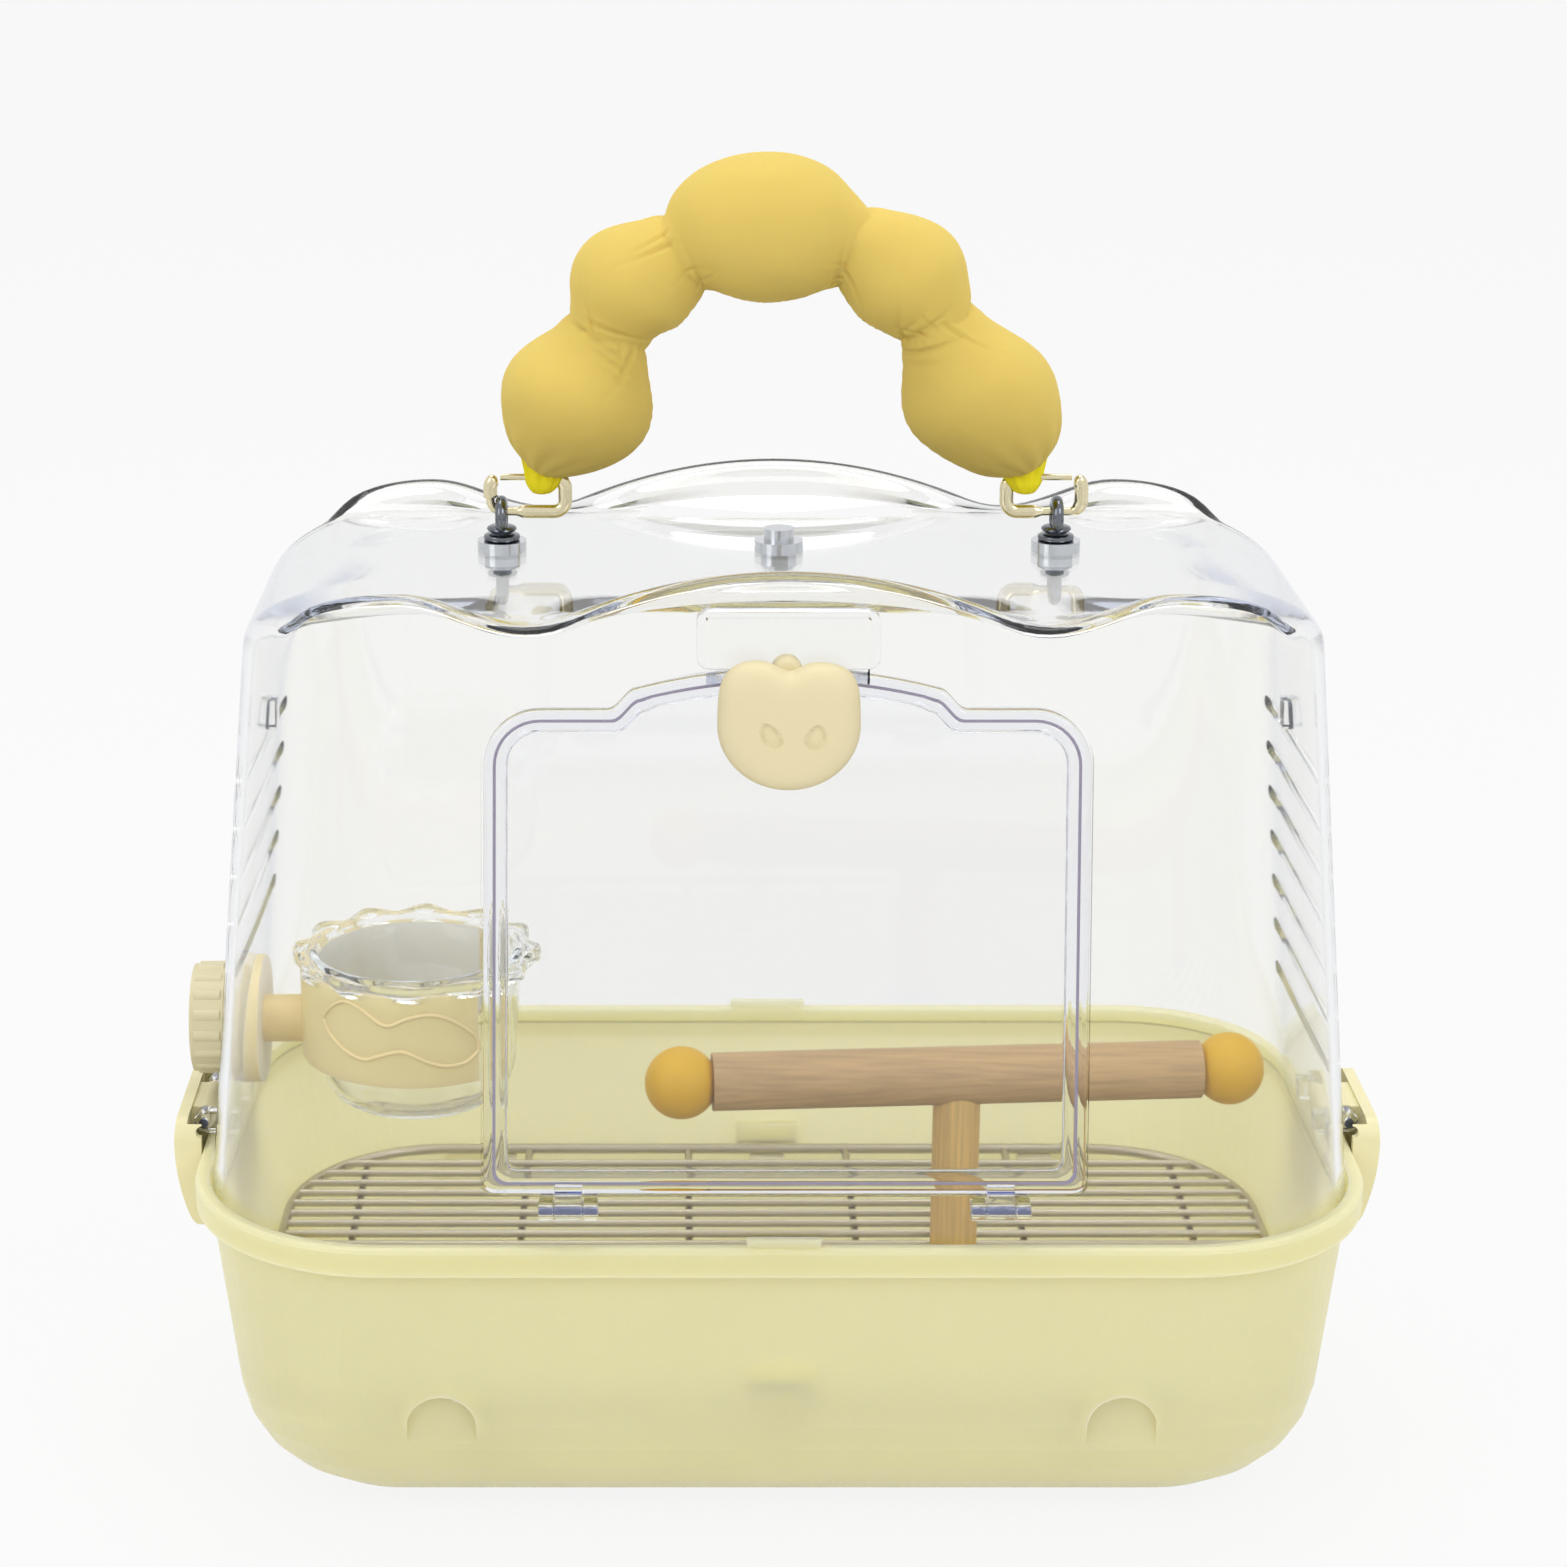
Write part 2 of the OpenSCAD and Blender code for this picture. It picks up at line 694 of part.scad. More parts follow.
// ---------------------------------------------------------------- side latches
module side_latch() {
    tall = clip_top_z - clip_low_z;
    in_x = clip_x - clip_t;
    difference() {
        union() {
            // bowed plate with a cheek at each end, open towards the rim
            difference() {
                intersection() {
                    translate([clip_x - clip_bow, 0, rim_z]) rod_y(2 * clip_bow, clip_w + 4, 96);
                    translate([rim_w / 2 + clip_gap, 0, clip_low_z + tall / 2]) rotate([90, 0, 90])
                        linear_extrude(clip_out + 5) rounded(clip_w, tall, 6);
                }
                translate([in_x - clip_in_bow, 0, rim_z])
                    rod_y(2 * clip_in_bow, clip_w - 2 * clip_side_t, 96);
            }
            translate([clip_pin_x, 0, clip_pin_z]) {
                rod_y(2 * clip_lug_r, clip_barrel);
                translate([0, -clip_barrel / 2, -2.4]) cube([in_x + 1 - clip_pin_x, clip_barrel, 4.8]);
            }
            // hook that catches under the rim
            along_y(clip_w - 16) polygon([
                [rim_w / 2 - 2.6, band_z - 0.4], [in_x + 1, band_z - 0.4],
                [in_x + 1, band_z - 6.6], [rim_w / 2 - 1.8, band_z - 3.4]]);
        }
        translate([clip_pin_x, 0, clip_pin_z]) rod_y(clip_pin_d + run_fit, clip_w + 2);
    }
}
module side_latch_left() color([0.93, 0.90, 0.66]) mirror([1, 0, 0]) side_latch();
module side_latch_right() color([0.93, 0.90, 0.66]) side_latch();

module side_latch_pins() color("silver")
    for (sx = [-1, 1]) translate([sx * clip_pin_x, 0, clip_pin_z])
        rod_y(clip_pin_d, clip_barrel + 2 * (run_gap + clip_lug_w));

// ---------------------------------------------------------------- grate
module wire_loop(w, d, r, t) {
    for (sx = [-1, 1], sy = [-1, 1])
        translate([sx * (w / 2 - r), sy * (d / 2 - r), 0])
            rotate([0, 0, sx > 0 ? (sy > 0 ? 0 : -90) : (sy > 0 ? 90 : 180)])
                rotate_extrude(angle = 90, $fn = 64) translate([r, 0]) circle(d = t, $fn = 20);
    for (sy = [-1, 1]) translate([0, sy * d / 2, 0]) rod_x(t, w - 2 * r, 20);
    for (sx = [-1, 1]) translate([sx * w / 2, 0, 0]) rod_y(t, d - 2 * r, 20);
}

// Half length of a straight wire that stops short of the frame by a given distance
function inside_frame(c, half_c, half_l, short) =
    abs(c) <= half_c - grate_r ? half_l - short
    : half_l - grate_r + sqrt(pow(grate_r - short, 2) - pow(abs(c) - half_c + grate_r, 2));

// Frame wire with the cross wires welded to its underside
module grate_frame() color([0.72, 0.70, 0.62]) {
    translate([0, 0, grate_z]) wire_loop(grate_w, grate_d, grate_r, frame_d);
    for (sx = [-1, 1], x = cross_x)
        translate([sx * x, 0, bar_wire_z])
            rod_y(wire_d, 2 * inside_frame(x, grate_w / 2, grate_d / 2, 0), 16);
}

// Long wires that lie on the cross wires
module grate_wires() color([0.74, 0.72, 0.64])
    for (i = [0 : wire_count - 1]) let (y = (i - (wire_count - 1) / 2) * wire_pitch)
        translate([0, y, long_wire_z]) rod_x(wire_d, n = 16,
            len = 2 * inside_frame(abs(y) + wire_d / 2, grate_d / 2, grate_w / 2, frame_d / 2 + 0.05));

// ---------------------------------------------------------------- perch
module at_perch() {
    translate([post_x, 0, 0]) children();
}

module perch_post() color([0.80, 0.68, 0.52]) at_perch()
    difference() {
        translate([0, 0, post_foot_z]) cylinder(d = post_d, h = bar_z - post_foot_z);
        translate([0, 0, bar_z]) rotate([0, 0, perch_yaw]) rod_x(bar_d + 0.1, bar_d * 3, 48);
        translate([0, 0, post_foot_z - 1]) cylinder(d = screw_post_d, h = 19);
    }

module perch_bar() color([0.84, 0.72, 0.60]) at_perch()
    translate([0, 0, bar_z]) rotate([0, 0, perch_yaw]) rod_x(bar_d, bar_len, 48);

module perch_ball(s) {
    translate([0, 0, bar_z]) rotate([0, 0, perch_yaw])
        translate([s * (bar_len / 2 + ball_flat), 0, 0]) rotate([0, s * 90, 0])
            rotate_extrude($fn = 64) intersection() {
                circle(d = ball_d, $fn = 64);
                translate([0, -ball_flat]) square(ball_d);
            }
}
module perch_ball_left() color([0.88, 0.70, 0.20]) at_perch() perch_ball(-1);
module perch_ball_right() color([0.88, 0.70, 0.20]) at_perch() perch_ball(1);

// Screw that comes up between two long wires into the post
screw_post_d = 4;
module perch_screw() color("silver") at_perch() {
    translate([0, 0, washer_z - 1.5 - 2.4]) cylinder(d = 8, h = 2.4);
    translate([0, 0, washer_z - 1.5]) cylinder(d = screw_post_d, h = post_foot_z + 16 - washer_z + 1.5);
}
module perch_washer() color("silver") at_perch()
    translate([0, 0, washer_z - 1.5]) difference() {
        cylinder(d = 18, h = 1.5);
        translate([0, 0, -1]) cylinder(d = screw_post_d + 0.3, h = 4);
    }

// ---------------------------------------------------------------- feeder
band_r = cup_d / 2 + band_gap;
module feeder_holder() color([0.90, 0.80, 0.52]) {
    mouth = cup_rim_d * tan(band_mouth / 2);
    // open band that hugs the cup
    translate([-cup_x, 0, cup_top_z - cup_rim_t - 0.3 - band_tall]) difference() {
        cylinder(r = band_r + band_t, h = band_tall, $fn = 72);
        translate([0, 0, -1]) cylinder(r = band_r, h = band_tall + 2, $fn = 72);
        translate([0, 0, -1]) linear_extrude(band_tall + 2)
            polygon([[0, 0], [cup_rim_d, -mouth], [cup_rim_d, mouth]]);
    }
    // neck, wall flange and stem
    translate([-(cup_x + band_r + 1), 0, feeder_z]) rotate([0, -90, 0])
        cylinder(d = neck_d, h = flange_x - cup_x - band_r);
    intersection() {
        translate([-flange_x, 0, feeder_z]) rotate([0, -90, 0]) cylinder(d = flange_d, h = 10);
        beside_wall(cover_x(feeder_z) - cover_wall, 0);
    }
    translate([-flange_x, 0, feeder_z]) rotate([0, -90, 0])
        cylinder(d = stem_d, h = nut_x + nut_t - 2.4 - flange_x);
}

// Block on one side of the leaning left wall, 0.15 clear of the face at the given X
module beside_wall(face, side) {
    block = 60;
    shift = side > 0 ? -0.15 - block : 0.15;
    translate([0, 0, feeder_z]) rotate([0, lean_angle, 0])
        translate([shift - face * cos(lean_angle), -block / 2, -block / 2]) cube(block);
}

petal_deep = 1.5;
function petal(r, a) = r - petal_deep + petal_deep * cos(12 * a);
module feeder_cup() color([0.85, 0.90, 0.95, 0.5])
    translate([-cup_x, 0, cup_foot_z]) {
        r = cup_d / 2;
        h = cup_h;
        base = r - 9;
        rotate_extrude($fn = 64) difference() {
            polygon([[0, 0], [base, 0], [base + 4, 1.2], [r - 2.2, 8], [r - 1.4, 16],
                [r, h - cup_rim_t + 0.5], [r, h], [0, h]]);
            polygon([[-1, cup_wall], [base - 0.5, cup_wall], [base + 3, 3], [r - 2.2 - cup_wall, 9],
                [r - 1.4 - cup_wall, 16], [r - cup_wall, h - cup_rim_t],
                [r - cup_wall, h + 1], [-1, h + 1]]);
        }
        translate([0, 0, h - cup_rim_t]) linear_extrude(cup_rim_t) difference() {
            polygon([for (i = [0 : 95]) let (a = i * 360 / 96)
                [petal(cup_rim_d / 2, a) * cos(a), petal(cup_rim_d / 2, a) * sin(a)]]);
            circle(r - 0.5, $fn = 64);
        }
    }

module feeder_nut() color([0.94, 0.92, 0.76])
    translate([-nut_x, 0, feeder_z]) rotate([0, -90, 0]) difference() {
        union() {
            cylinder(d = nut_d - 1.6, h = nut_t);
            for (i = [0 : 15]) rotate([0, 0, i * 22.5])
                translate([nut_d / 2 - 2.2, 0, 0.8]) cylinder(d = 4, h = nut_t - 2, $fn = 16);
        }
        translate([0, 0, -1]) cylinder(d = stem_d + run_fit, h = nut_t - 0.8);
    }

// Tapered washer between the leaning wall and the hand nut
module feeder_washer() color([0.90, 0.90, 0.86]) difference() {
    intersection() {
        translate([-nut_x + 0.15, 0, feeder_z]) rotate([0, 90, 0]) cylinder(d = washer_d, h = 10);
        beside_wall(cover_x(feeder_z), 1);
    }
    translate([-nut_x, 0, feeder_z]) rod_x(stem_d + 0.6, 30);
}

// ---------------------------------------------------------------- studs on the roof
washer_t = 3;
base_t = 2.5;
shank_d = 5;
module eye_stud() {
    translate([0, 0, roof_z + washer_t]) cylinder(d = 9.2, h = base_t, $fn = 6);
    translate([0, 0, roof_z - cover_wall - 6]) cylinder(d = shank_d, h = cover_wall + 6 + eye_rise - eye_r);
    translate([0, 0, axis_z]) rotate([0, 90, 0])
        rotate_extrude($fn = 48) translate([eye_r, 0]) circle(eye_wire, $fn = 20);
}
module handle_stud_left() color([0.35, 0.36, 0.38]) translate([-stud_x, stud_y, 0]) eye_stud();
module handle_stud_right() color([0.35, 0.36, 0.38]) translate([stud_x, stud_y, 0]) eye_stud();

// Middle stud: a cap above the roof and an eye below it for hanging toys
toy_eye_r = 4.4;
module toy_hook() color("silver") translate([0, stud_y, 0]) {
    translate([0, 0, roof_z + washer_t]) cylinder(d = 8, h = 3.2, $fn = 32);
    translate([0, 0, roof_z - cover_wall - 7]) cylinder(d = shank_d, h = cover_wall + 7 + washer_t);
    translate([0, 0, roof_z - cover_wall - 7 - toy_eye_r - 0.6]) rotate([0, 90, 90])
        rotate_extrude($fn = 48) translate([toy_eye_r, 0]) circle(1.2, $fn = 20);
}

stud_washer_d = 13;
stud_nut_d = 9.2;
stud_nut_t = 4;
module stud_ring(d, t, z, n) {
    for (x = [-stud_x, 0, stud_x]) translate([x, stud_y, z]) difference() {
        cylinder(d = d, h = t, $fn = n);
        translate([0, 0, -1]) cylinder(d = shank_d + 0.2, h = t + 2);
    }
}
module stud_washers() color([0.75, 0.76, 0.78]) stud_ring(stud_washer_d, washer_t, roof_z, 48);
module stud_nuts() color([0.75, 0.76, 0.78]) 
    stud_ring(stud_nut_d, stud_nut_t, roof_z - cover_wall - stud_nut_t, 6);

// ---------------------------------------------------------------- stuffed handle
// Five stuffed lobes: centre, half length along the arch, half thickness, direction of the arch
lobes = [
    [-53, 43, 22.5, 19.5, 66],
    [-37, 74, 20.5, 16.4, 47],
    [-5, 88, 28, 20, -2],
    [32, 76, 20.5, 16.6, -50],
    [52, 44, 24, 21, -68]
];
// Gathers between the lobes: place and direction of the arch there
gathers = [
    [-44.5, 60.3, 62],
    [-24, 80.5, 27],
    [18.3, 80, -30],
    [41.5, 61, -60]
];
gather_gap = 0.15;

module gather_side(g, side) {
    translate([g[0], stud_y, roof_z + g[1]]) rotate([0, -g[2], 0])
        translate([side > 0 ? gather_gap : -80 - gather_gap, -40, -40]) cube(80);
}

module handle_puff(i) {
    l = lobes[i];
    intersection() {
        translate([l[0], stud_y, roof_z + l[1]]) rotate([0, -l[4], 0])
            hull() scale([l[2], l[3] * puff, l[3] * puff]) sphere(1, $fn = 30);
        union() {
            if (i == 0) gather_side(gathers[0], -1);
            if (i == 4) gather_side(gathers[3], 1);
            if (i > 0 && i < 4) intersection() {
                gather_side(gathers[i - 1], 1);
                gather_side(gathers[i], -1);
            }
        }
    }
}
puff_tint = [0.93, 0.82, 0.43];
module handle_puff_low_left() color(puff_tint) handle_puff(0);
module handle_puff_mid_left() color(puff_tint) handle_puff(1);
module handle_puff_top() color(puff_tint) handle_puff(2);
module handle_puff_mid_right() color(puff_tint) handle_puff(3);
module handle_puff_low_right() color(puff_tint) handle_puff(4);

// Fabric loop round the snap ring, drawn up into the lowest lobe
tie_x = [62.8, 65];
tie_r = 2.6;
module handle_tie(s) {
    translate([s * (s < 0 ? tie_x[0] : tie_x[1]), stud_y, snap_top_z]) {
        rotate([0, 90, 0]) rotate_extrude($fn = 32) translate([tie_r, 0]) circle(1.2, $fn = 16);
        translate([0, 0, tie_r + 0.2]) cylinder(r1 = 2.2, r2 = 4.4, h = 4.2);
    }
}
module handle_tie_left() color([0.97, 0.91, 0.20]) difference() {
    handle_tie(-1);
    handle_puff(0);
}
module handle_tie_right() color([0.97, 0.91, 0.20]) difference() {
    handle_tie(1);
    handle_puff(4);
}

// Snap ring: a long wire loop through the stud eye, with a spring gate in its top run.
// The left ring has slid further in through its eye than the right one.
function ring_mid(s) = stud_x - (s < 0 ? 7 : 3.5);
gate_x = 3;
module snap_ring(s) {
    run = snap_top_z - snap_low_z;
    translate([s * ring_mid(s), stud_y, (snap_low_z + snap_top_z) / 2]) difference() {
        rotate([90, 0, 0]) wire_loop(snap_len - 2 * snap_wire, run, snap_bend, 2 * snap_wire);
        translate([s * gate_x, 0, run / 2]) cube([gate_len, 6, 4], center = true);
    }
}
module snap_gate(s) {
    translate([s * (ring_mid(s) + gate_x), stud_y, snap_top_z]) rod_x(1.8, gate_len - 2 * run_gap, 20);
}
module snap_ring_left() color([0.85, 0.82, 0.72]) snap_ring(-1);
module snap_ring_right() color([0.85, 0.82, 0.72]) snap_ring(1);
module snap_gate_left() color([0.80, 0.78, 0.70]) snap_gate(-1);
module snap_gate_right() color([0.80, 0.78, 0.70]) snap_gate(1);

tub();
cover_shell();
door_panel();
door_hinge_pins();
latch_knob();
latch_screw();
side_latch_left();
side_latch_right();
side_latch_pins();
grate_frame();
grate_wires();
perch_post();
perch_bar();
perch_ball_left();
perch_ball_right();
perch_screw();
perch_washer();
feeder_holder();
feeder_cup();
feeder_nut();
feeder_washer();
handle_stud_left();
handle_stud_right();
toy_hook();
stud_washers();
stud_nuts();
handle_puff_low_left();
handle_puff_mid_left();
handle_puff_top();
handle_puff_mid_right();
handle_puff_low_right();
handle_tie_left();
handle_tie_right();
snap_ring_left();
snap_ring_right();
snap_gate_left();
snap_gate_right();
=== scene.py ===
"""Dresses the bird travel carrier: finishes for its solids, smooth meshes for the clear parts, latch knob,
eye studs and snap rings, and the stuffed handle with its two ties.
"""
import random
from math import atan, cos, degrees, exp, hypot, pi, radians, sin, sqrt

import bpy
import bmesh
import numpy as np
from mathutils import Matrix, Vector, noise


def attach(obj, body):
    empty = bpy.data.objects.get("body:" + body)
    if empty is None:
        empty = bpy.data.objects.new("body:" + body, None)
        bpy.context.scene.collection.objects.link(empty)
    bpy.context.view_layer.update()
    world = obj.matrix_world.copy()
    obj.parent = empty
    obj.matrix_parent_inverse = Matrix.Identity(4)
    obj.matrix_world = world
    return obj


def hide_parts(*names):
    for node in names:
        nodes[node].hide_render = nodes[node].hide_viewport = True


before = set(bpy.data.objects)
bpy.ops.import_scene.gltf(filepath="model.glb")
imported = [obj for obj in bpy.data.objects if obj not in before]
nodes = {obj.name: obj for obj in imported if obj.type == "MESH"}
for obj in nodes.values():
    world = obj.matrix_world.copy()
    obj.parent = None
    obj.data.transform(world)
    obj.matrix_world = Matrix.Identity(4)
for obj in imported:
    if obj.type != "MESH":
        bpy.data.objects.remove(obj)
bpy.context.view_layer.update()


def add_object(name, data):
    o = bpy.data.objects.new(name, data)
    bpy.context.collection.objects.link(o)
    return o


# ---- shader helpers
def add_node(nt, kind, inputs=None, **settings):
    """New shader node; an input is a constant or another node's output."""
    node = nt.nodes.new("ShaderNode" + kind)
    for key, value in settings.items():
        setattr(node, key, value)
    for key, value in (inputs or {}).items():
        if isinstance(value, bpy.types.NodeSocket):
            nt.links.new(value, node.inputs[key])
        else:
            node.inputs[key].default_value = value
    return node


def math_of(nt, operation, a, b):
    return add_node(nt, "Math", {0: a, 1: b}, operation=operation).outputs[0]


def mix_shaders(nt, share, first, second):
    return add_node(nt, "MixShader", {0: share, 1: first.outputs[0], 2: second.outputs[0]}).outputs[0]


def mix_colors(nt, share, first, second):
    """Colour between two, each a triple or another node's output."""
    a, b = ((*c, 1) if isinstance(c, tuple) else c for c in (first, second))
    return add_node(nt, "Mix", {0: share, 6: a, 7: b}, data_type="RGBA").outputs[2]


def seen_directly(nt):
    """1 for a ray from the camera, off a glossy surface or through a clear one."""
    rays = add_node(nt, "LightPath").outputs
    seen = math_of(nt, "MAXIMUM", rays["Is Camera Ray"], rays["Is Glossy Ray"])
    return math_of(nt, "MAXIMUM", seen, rays["Is Transmission Ray"])


# ---- camera, light and ground, in metres
CAMERA_TILT = 72.6  # degrees up from looking straight down
LAMP_AIM = (0, 0, 0.15)
WORLD_STRENGTH, WORLD_PAPER = 0.8, 0.94
FLOOR_HALF, FLOOR_DROP = 6.0, 0.0002
FLOOR_GREY, FLOOR_PAPER, FLOOR_PAPER_SHARE = 0.9, 0.955, 0.92
BOUNCES = 32


def grey(value):
    return value, value, value, 1


def add_camera():
    data = bpy.data.cameras.new("camera")
    data.sensor_width = 36
    data.lens = 80.4
    data.shift_x = 0.071
    data.clip_end = 20
    cam = add_object("camera", data)
    cam.location = (-0.0283, -0.894, 0.464)
    cam.rotation_euler = (radians(CAMERA_TILT), 0, 0)
    bpy.context.scene.camera = cam


def area_light(name, place, size, power):
    data = bpy.data.lights.new(name, "AREA")
    data.shape = "RECTANGLE"
    data.size, data.size_y = size
    data.energy = power
    lamp = add_object(name, data)
    lamp.location = place
    lamp.rotation_euler = (Vector(LAMP_AIM) - Vector(place)).to_track_quat("-Z", "Y").to_euler()


def add_world():
    """Soft white light, and a plain pale backdrop where it is seen directly."""
    world = bpy.data.worlds.new("studio")
    bpy.context.scene.world = world
    world.use_nodes = True
    nt = world.node_tree
    nt.nodes.clear()
    out = add_node(nt, "OutputWorld")
    soft = add_node(nt, "Background", {"Color": grey(1), "Strength": WORLD_STRENGTH})
    paper = add_node(nt, "Background", {"Color": grey(WORLD_PAPER)})
    nt.links.new(mix_shaders(nt, seen_directly(nt), soft, paper), out.inputs[0])


def add_floor():
    """Pale floor that keeps the shadow and is close to white where it is seen directly."""
    mesh = bpy.data.meshes.new("floor")
    r = FLOOR_HALF
    mesh.from_pydata([(-r, -r, 0), (r, -r, 0), (r, r, 0), (-r, r, 0)], [], [(0, 1, 2, 3)])
    floor = add_object("floor", mesh)
    floor.location.z = -FLOOR_DROP
    material = bpy.data.materials.new("floor_paper")
    material.use_nodes = True
    nt = material.node_tree
    nt.nodes.clear()
    out = add_node(nt, "OutputMaterial")
    matt = add_node(nt, "BsdfDiffuse", {"Color": grey(FLOOR_GREY)})
    paper = add_node(nt, "Emission", {"Color": grey(FLOOR_PAPER)})
    share = math_of(nt, "MULTIPLY", seen_directly(nt), FLOOR_PAPER_SHARE)
    nt.links.new(mix_shaders(nt, share, matt, paper), out.inputs[0])
    mesh.materials.append(material)


add_camera()
bpy.context.scene.view_settings.view_transform = "Standard"
for limit in ("max_bounces", "transmission_bounces", "glossy_bounces", "transparent_max_bounces"):
    setattr(bpy.context.scene.cycles, limit, BOUNCES)
area_light("key", (1.1, -1.3, 1.4), (0.9, 0.9), power=7.0)
area_light("fill", (-1.2, -1.1, 1.1), (0.8, 1.0), power=4.8)
area_light("top", (0, 0.3, 1.7), (1.4, 0.9), power=9.6)
add_world()
add_floor()


# ---- materials
def principled(name, color, rough, **sockets):
    material = bpy.data.materials.new(name)
    material.use_nodes = True
    material.diffuse_color = (*color, 1)
    shader = material.node_tree.nodes["Principled BSDF"]
    shader.inputs["Base Color"].default_value = (*color, 1)
    shader.inputs["Roughness"].default_value = rough
    for key, value in sockets.items():
        shader.inputs[key.replace("_", " ")].default_value = value
    return material, material.node_tree, shader


def object_noise(nt, scale, detail, stretch=(1, 1, 1)):
    move = add_node(nt, "Mapping", {"Vector": add_node(nt, "TexCoord").outputs["Object"], "Scale": stretch})
    tex = add_node(nt, "TexNoise", {"Vector": move.outputs[0], "Scale": scale, "Detail": detail})
    return tex.outputs["Fac"]


def shade(color, k):
    return tuple(min(1.0, v * k) for v in color)


def vary(nt, drift, color, low, high):
    """Colour that drifts between two close shades."""
    return mix_colors(nt, drift, shade(color, low), shade(color, high))


def rough_range(nt, shader, drift, low, high):
    span = add_node(nt, "MapRange", {"Value": drift, "To Min": low, "To Max": high})
    nt.links.new(span.outputs[0], shader.inputs["Roughness"])


def bump(nt, over, height, distance, strength):
    """Bump that feeds the normal of a shader, or of a finer bump."""
    node = add_node(nt, "Bump", {"Height": height, "Distance": distance, "Strength": strength})
    nt.links.new(node.outputs[0], over.inputs["Normal"])
    return node


def inward_painted_light_mask(nt, middle):
    """1 on surfaces turned towards a point inside the piece, 0 on those turned away; it masks where light is
    painted in.
    """
    here = add_node(nt, "TexCoord").outputs["Object"]
    away = add_node(nt, "VectorMath", {0: here, 1: middle}, operation="SUBTRACT").outputs[0]
    normal = add_node(nt, "NewGeometry").outputs["Normal"]
    facing = add_node(nt, "VectorMath", {0: away, 1: normal}, operation="DOT_PRODUCT").outputs["Value"]
    return add_node(nt, "MapRange", {"Value": facing, "From Max": -0.02}).outputs[0]


def moulded(name, color, rough, through=0.0, middle=None, inner=None):
    """Fine-grained plastic that can let light through, with painted light on its inner faces: an optional
    paler colour there stands in for light in the shaded inside.
    """
    material, nt, shader = principled(name, color, rough, Specular_IOR_Level=0.45, Subsurface_Weight=through,
                                      Subsurface_Scale=0.018, Subsurface_Radius=(1.0, 0.9, 0.6))
    base = vary(nt, object_noise(nt, scale=14, detail=3), color, 0.965, 1.03)
    if inner:
        # Painted light: faces turned inward take the paler inner colour, which stands in for light that the
        # shaded inside lacks.
        base = mix_colors(nt, inward_painted_light_mask(nt, middle), base, inner)
    nt.links.new(base, shader.inputs["Base Color"])
    rough_range(nt, shader, object_noise(nt, scale=60, detail=3), rough - 0.05, rough + 0.07)
    bump(nt, shader, object_noise(nt, scale=900, detail=2), distance=0.00006, strength=0.5)
    return material


def clear(name, tint, painted_edge_reflection, depth_tint, density):
    """Clear plastic tinted cool through its depth, with a painted dark reflection at grazing angles, where
    its colour turns cooler and darker; its shadow is nearly clear.
    """
    rough = 0.02
    material, nt, shader = principled(name, tint, rough, Transmission_Weight=1.0, IOR=1.47)
    rough_range(nt, shader, object_noise(nt, scale=30, detail=2), rough, rough + 0.03)
    # Painted reflection: the colour darkens towards the edge tint at grazing angles, standing in for the
    # dark surroundings that the edges reflect.
    facing = add_node(nt, "LayerWeight").outputs["Facing"]
    painted_edge_share = add_node(nt, "MapRange", {"Value": facing, "From Min": 0.45}).outputs[0]
    base = mix_colors(nt, math_of(nt, "POWER", painted_edge_share, 3), tint, painted_edge_reflection)
    nt.links.new(base, shader.inputs["Base Color"])
    depth = add_node(nt, "VolumeAbsorption", {"Color": (*depth_tint, 1), "Density": density})
    unshaded = add_node(nt, "BsdfTransparent", {"Color": grey(0.99)})
    shadow_ray = add_node(nt, "LightPath").outputs["Is Shadow Ray"]
    out = nt.nodes["Material Output"]
    nt.links.new(depth.outputs[0], out.inputs["Volume"])
    nt.links.new(mix_shaders(nt, shadow_ray, shader, unshaded), out.inputs["Surface"])
    return material


def metal(name, color, rough):
    material, nt, shader = principled(name, color, rough, Metallic=1.0)
    rough_range(nt, shader, object_noise(nt, scale=220, detail=4), rough, rough + 0.12)
    bump(nt, shader, object_noise(nt, scale=1500, detail=2), distance=0.00002, strength=0.3)
    return material


def wood(name, color, grain_axis):
    """Bare wood whose fibres run along one axis."""
    material, nt, shader = principled(name, color, 0.6, Specular_IOR_Level=0.3)
    stretch = [900, 900, 900]
    stretch[grain_axis] = 28
    fibre = object_noise(nt, scale=1, detail=6, stretch=stretch)
    ramp = add_node(nt, "ValToRGB")
    for stop, place, k in zip(ramp.color_ramp.elements, (0.3, 0.7), (0.80, 1.10)):
        stop.position = place
        stop.color = (*shade(color, k), 1)
    nt.links.new(fibre, ramp.inputs[0])
    nt.links.new(ramp.outputs[0], shader.inputs["Base Color"])
    bump(nt, shader, fibre, distance=0.00015, strength=0.5)
    return material


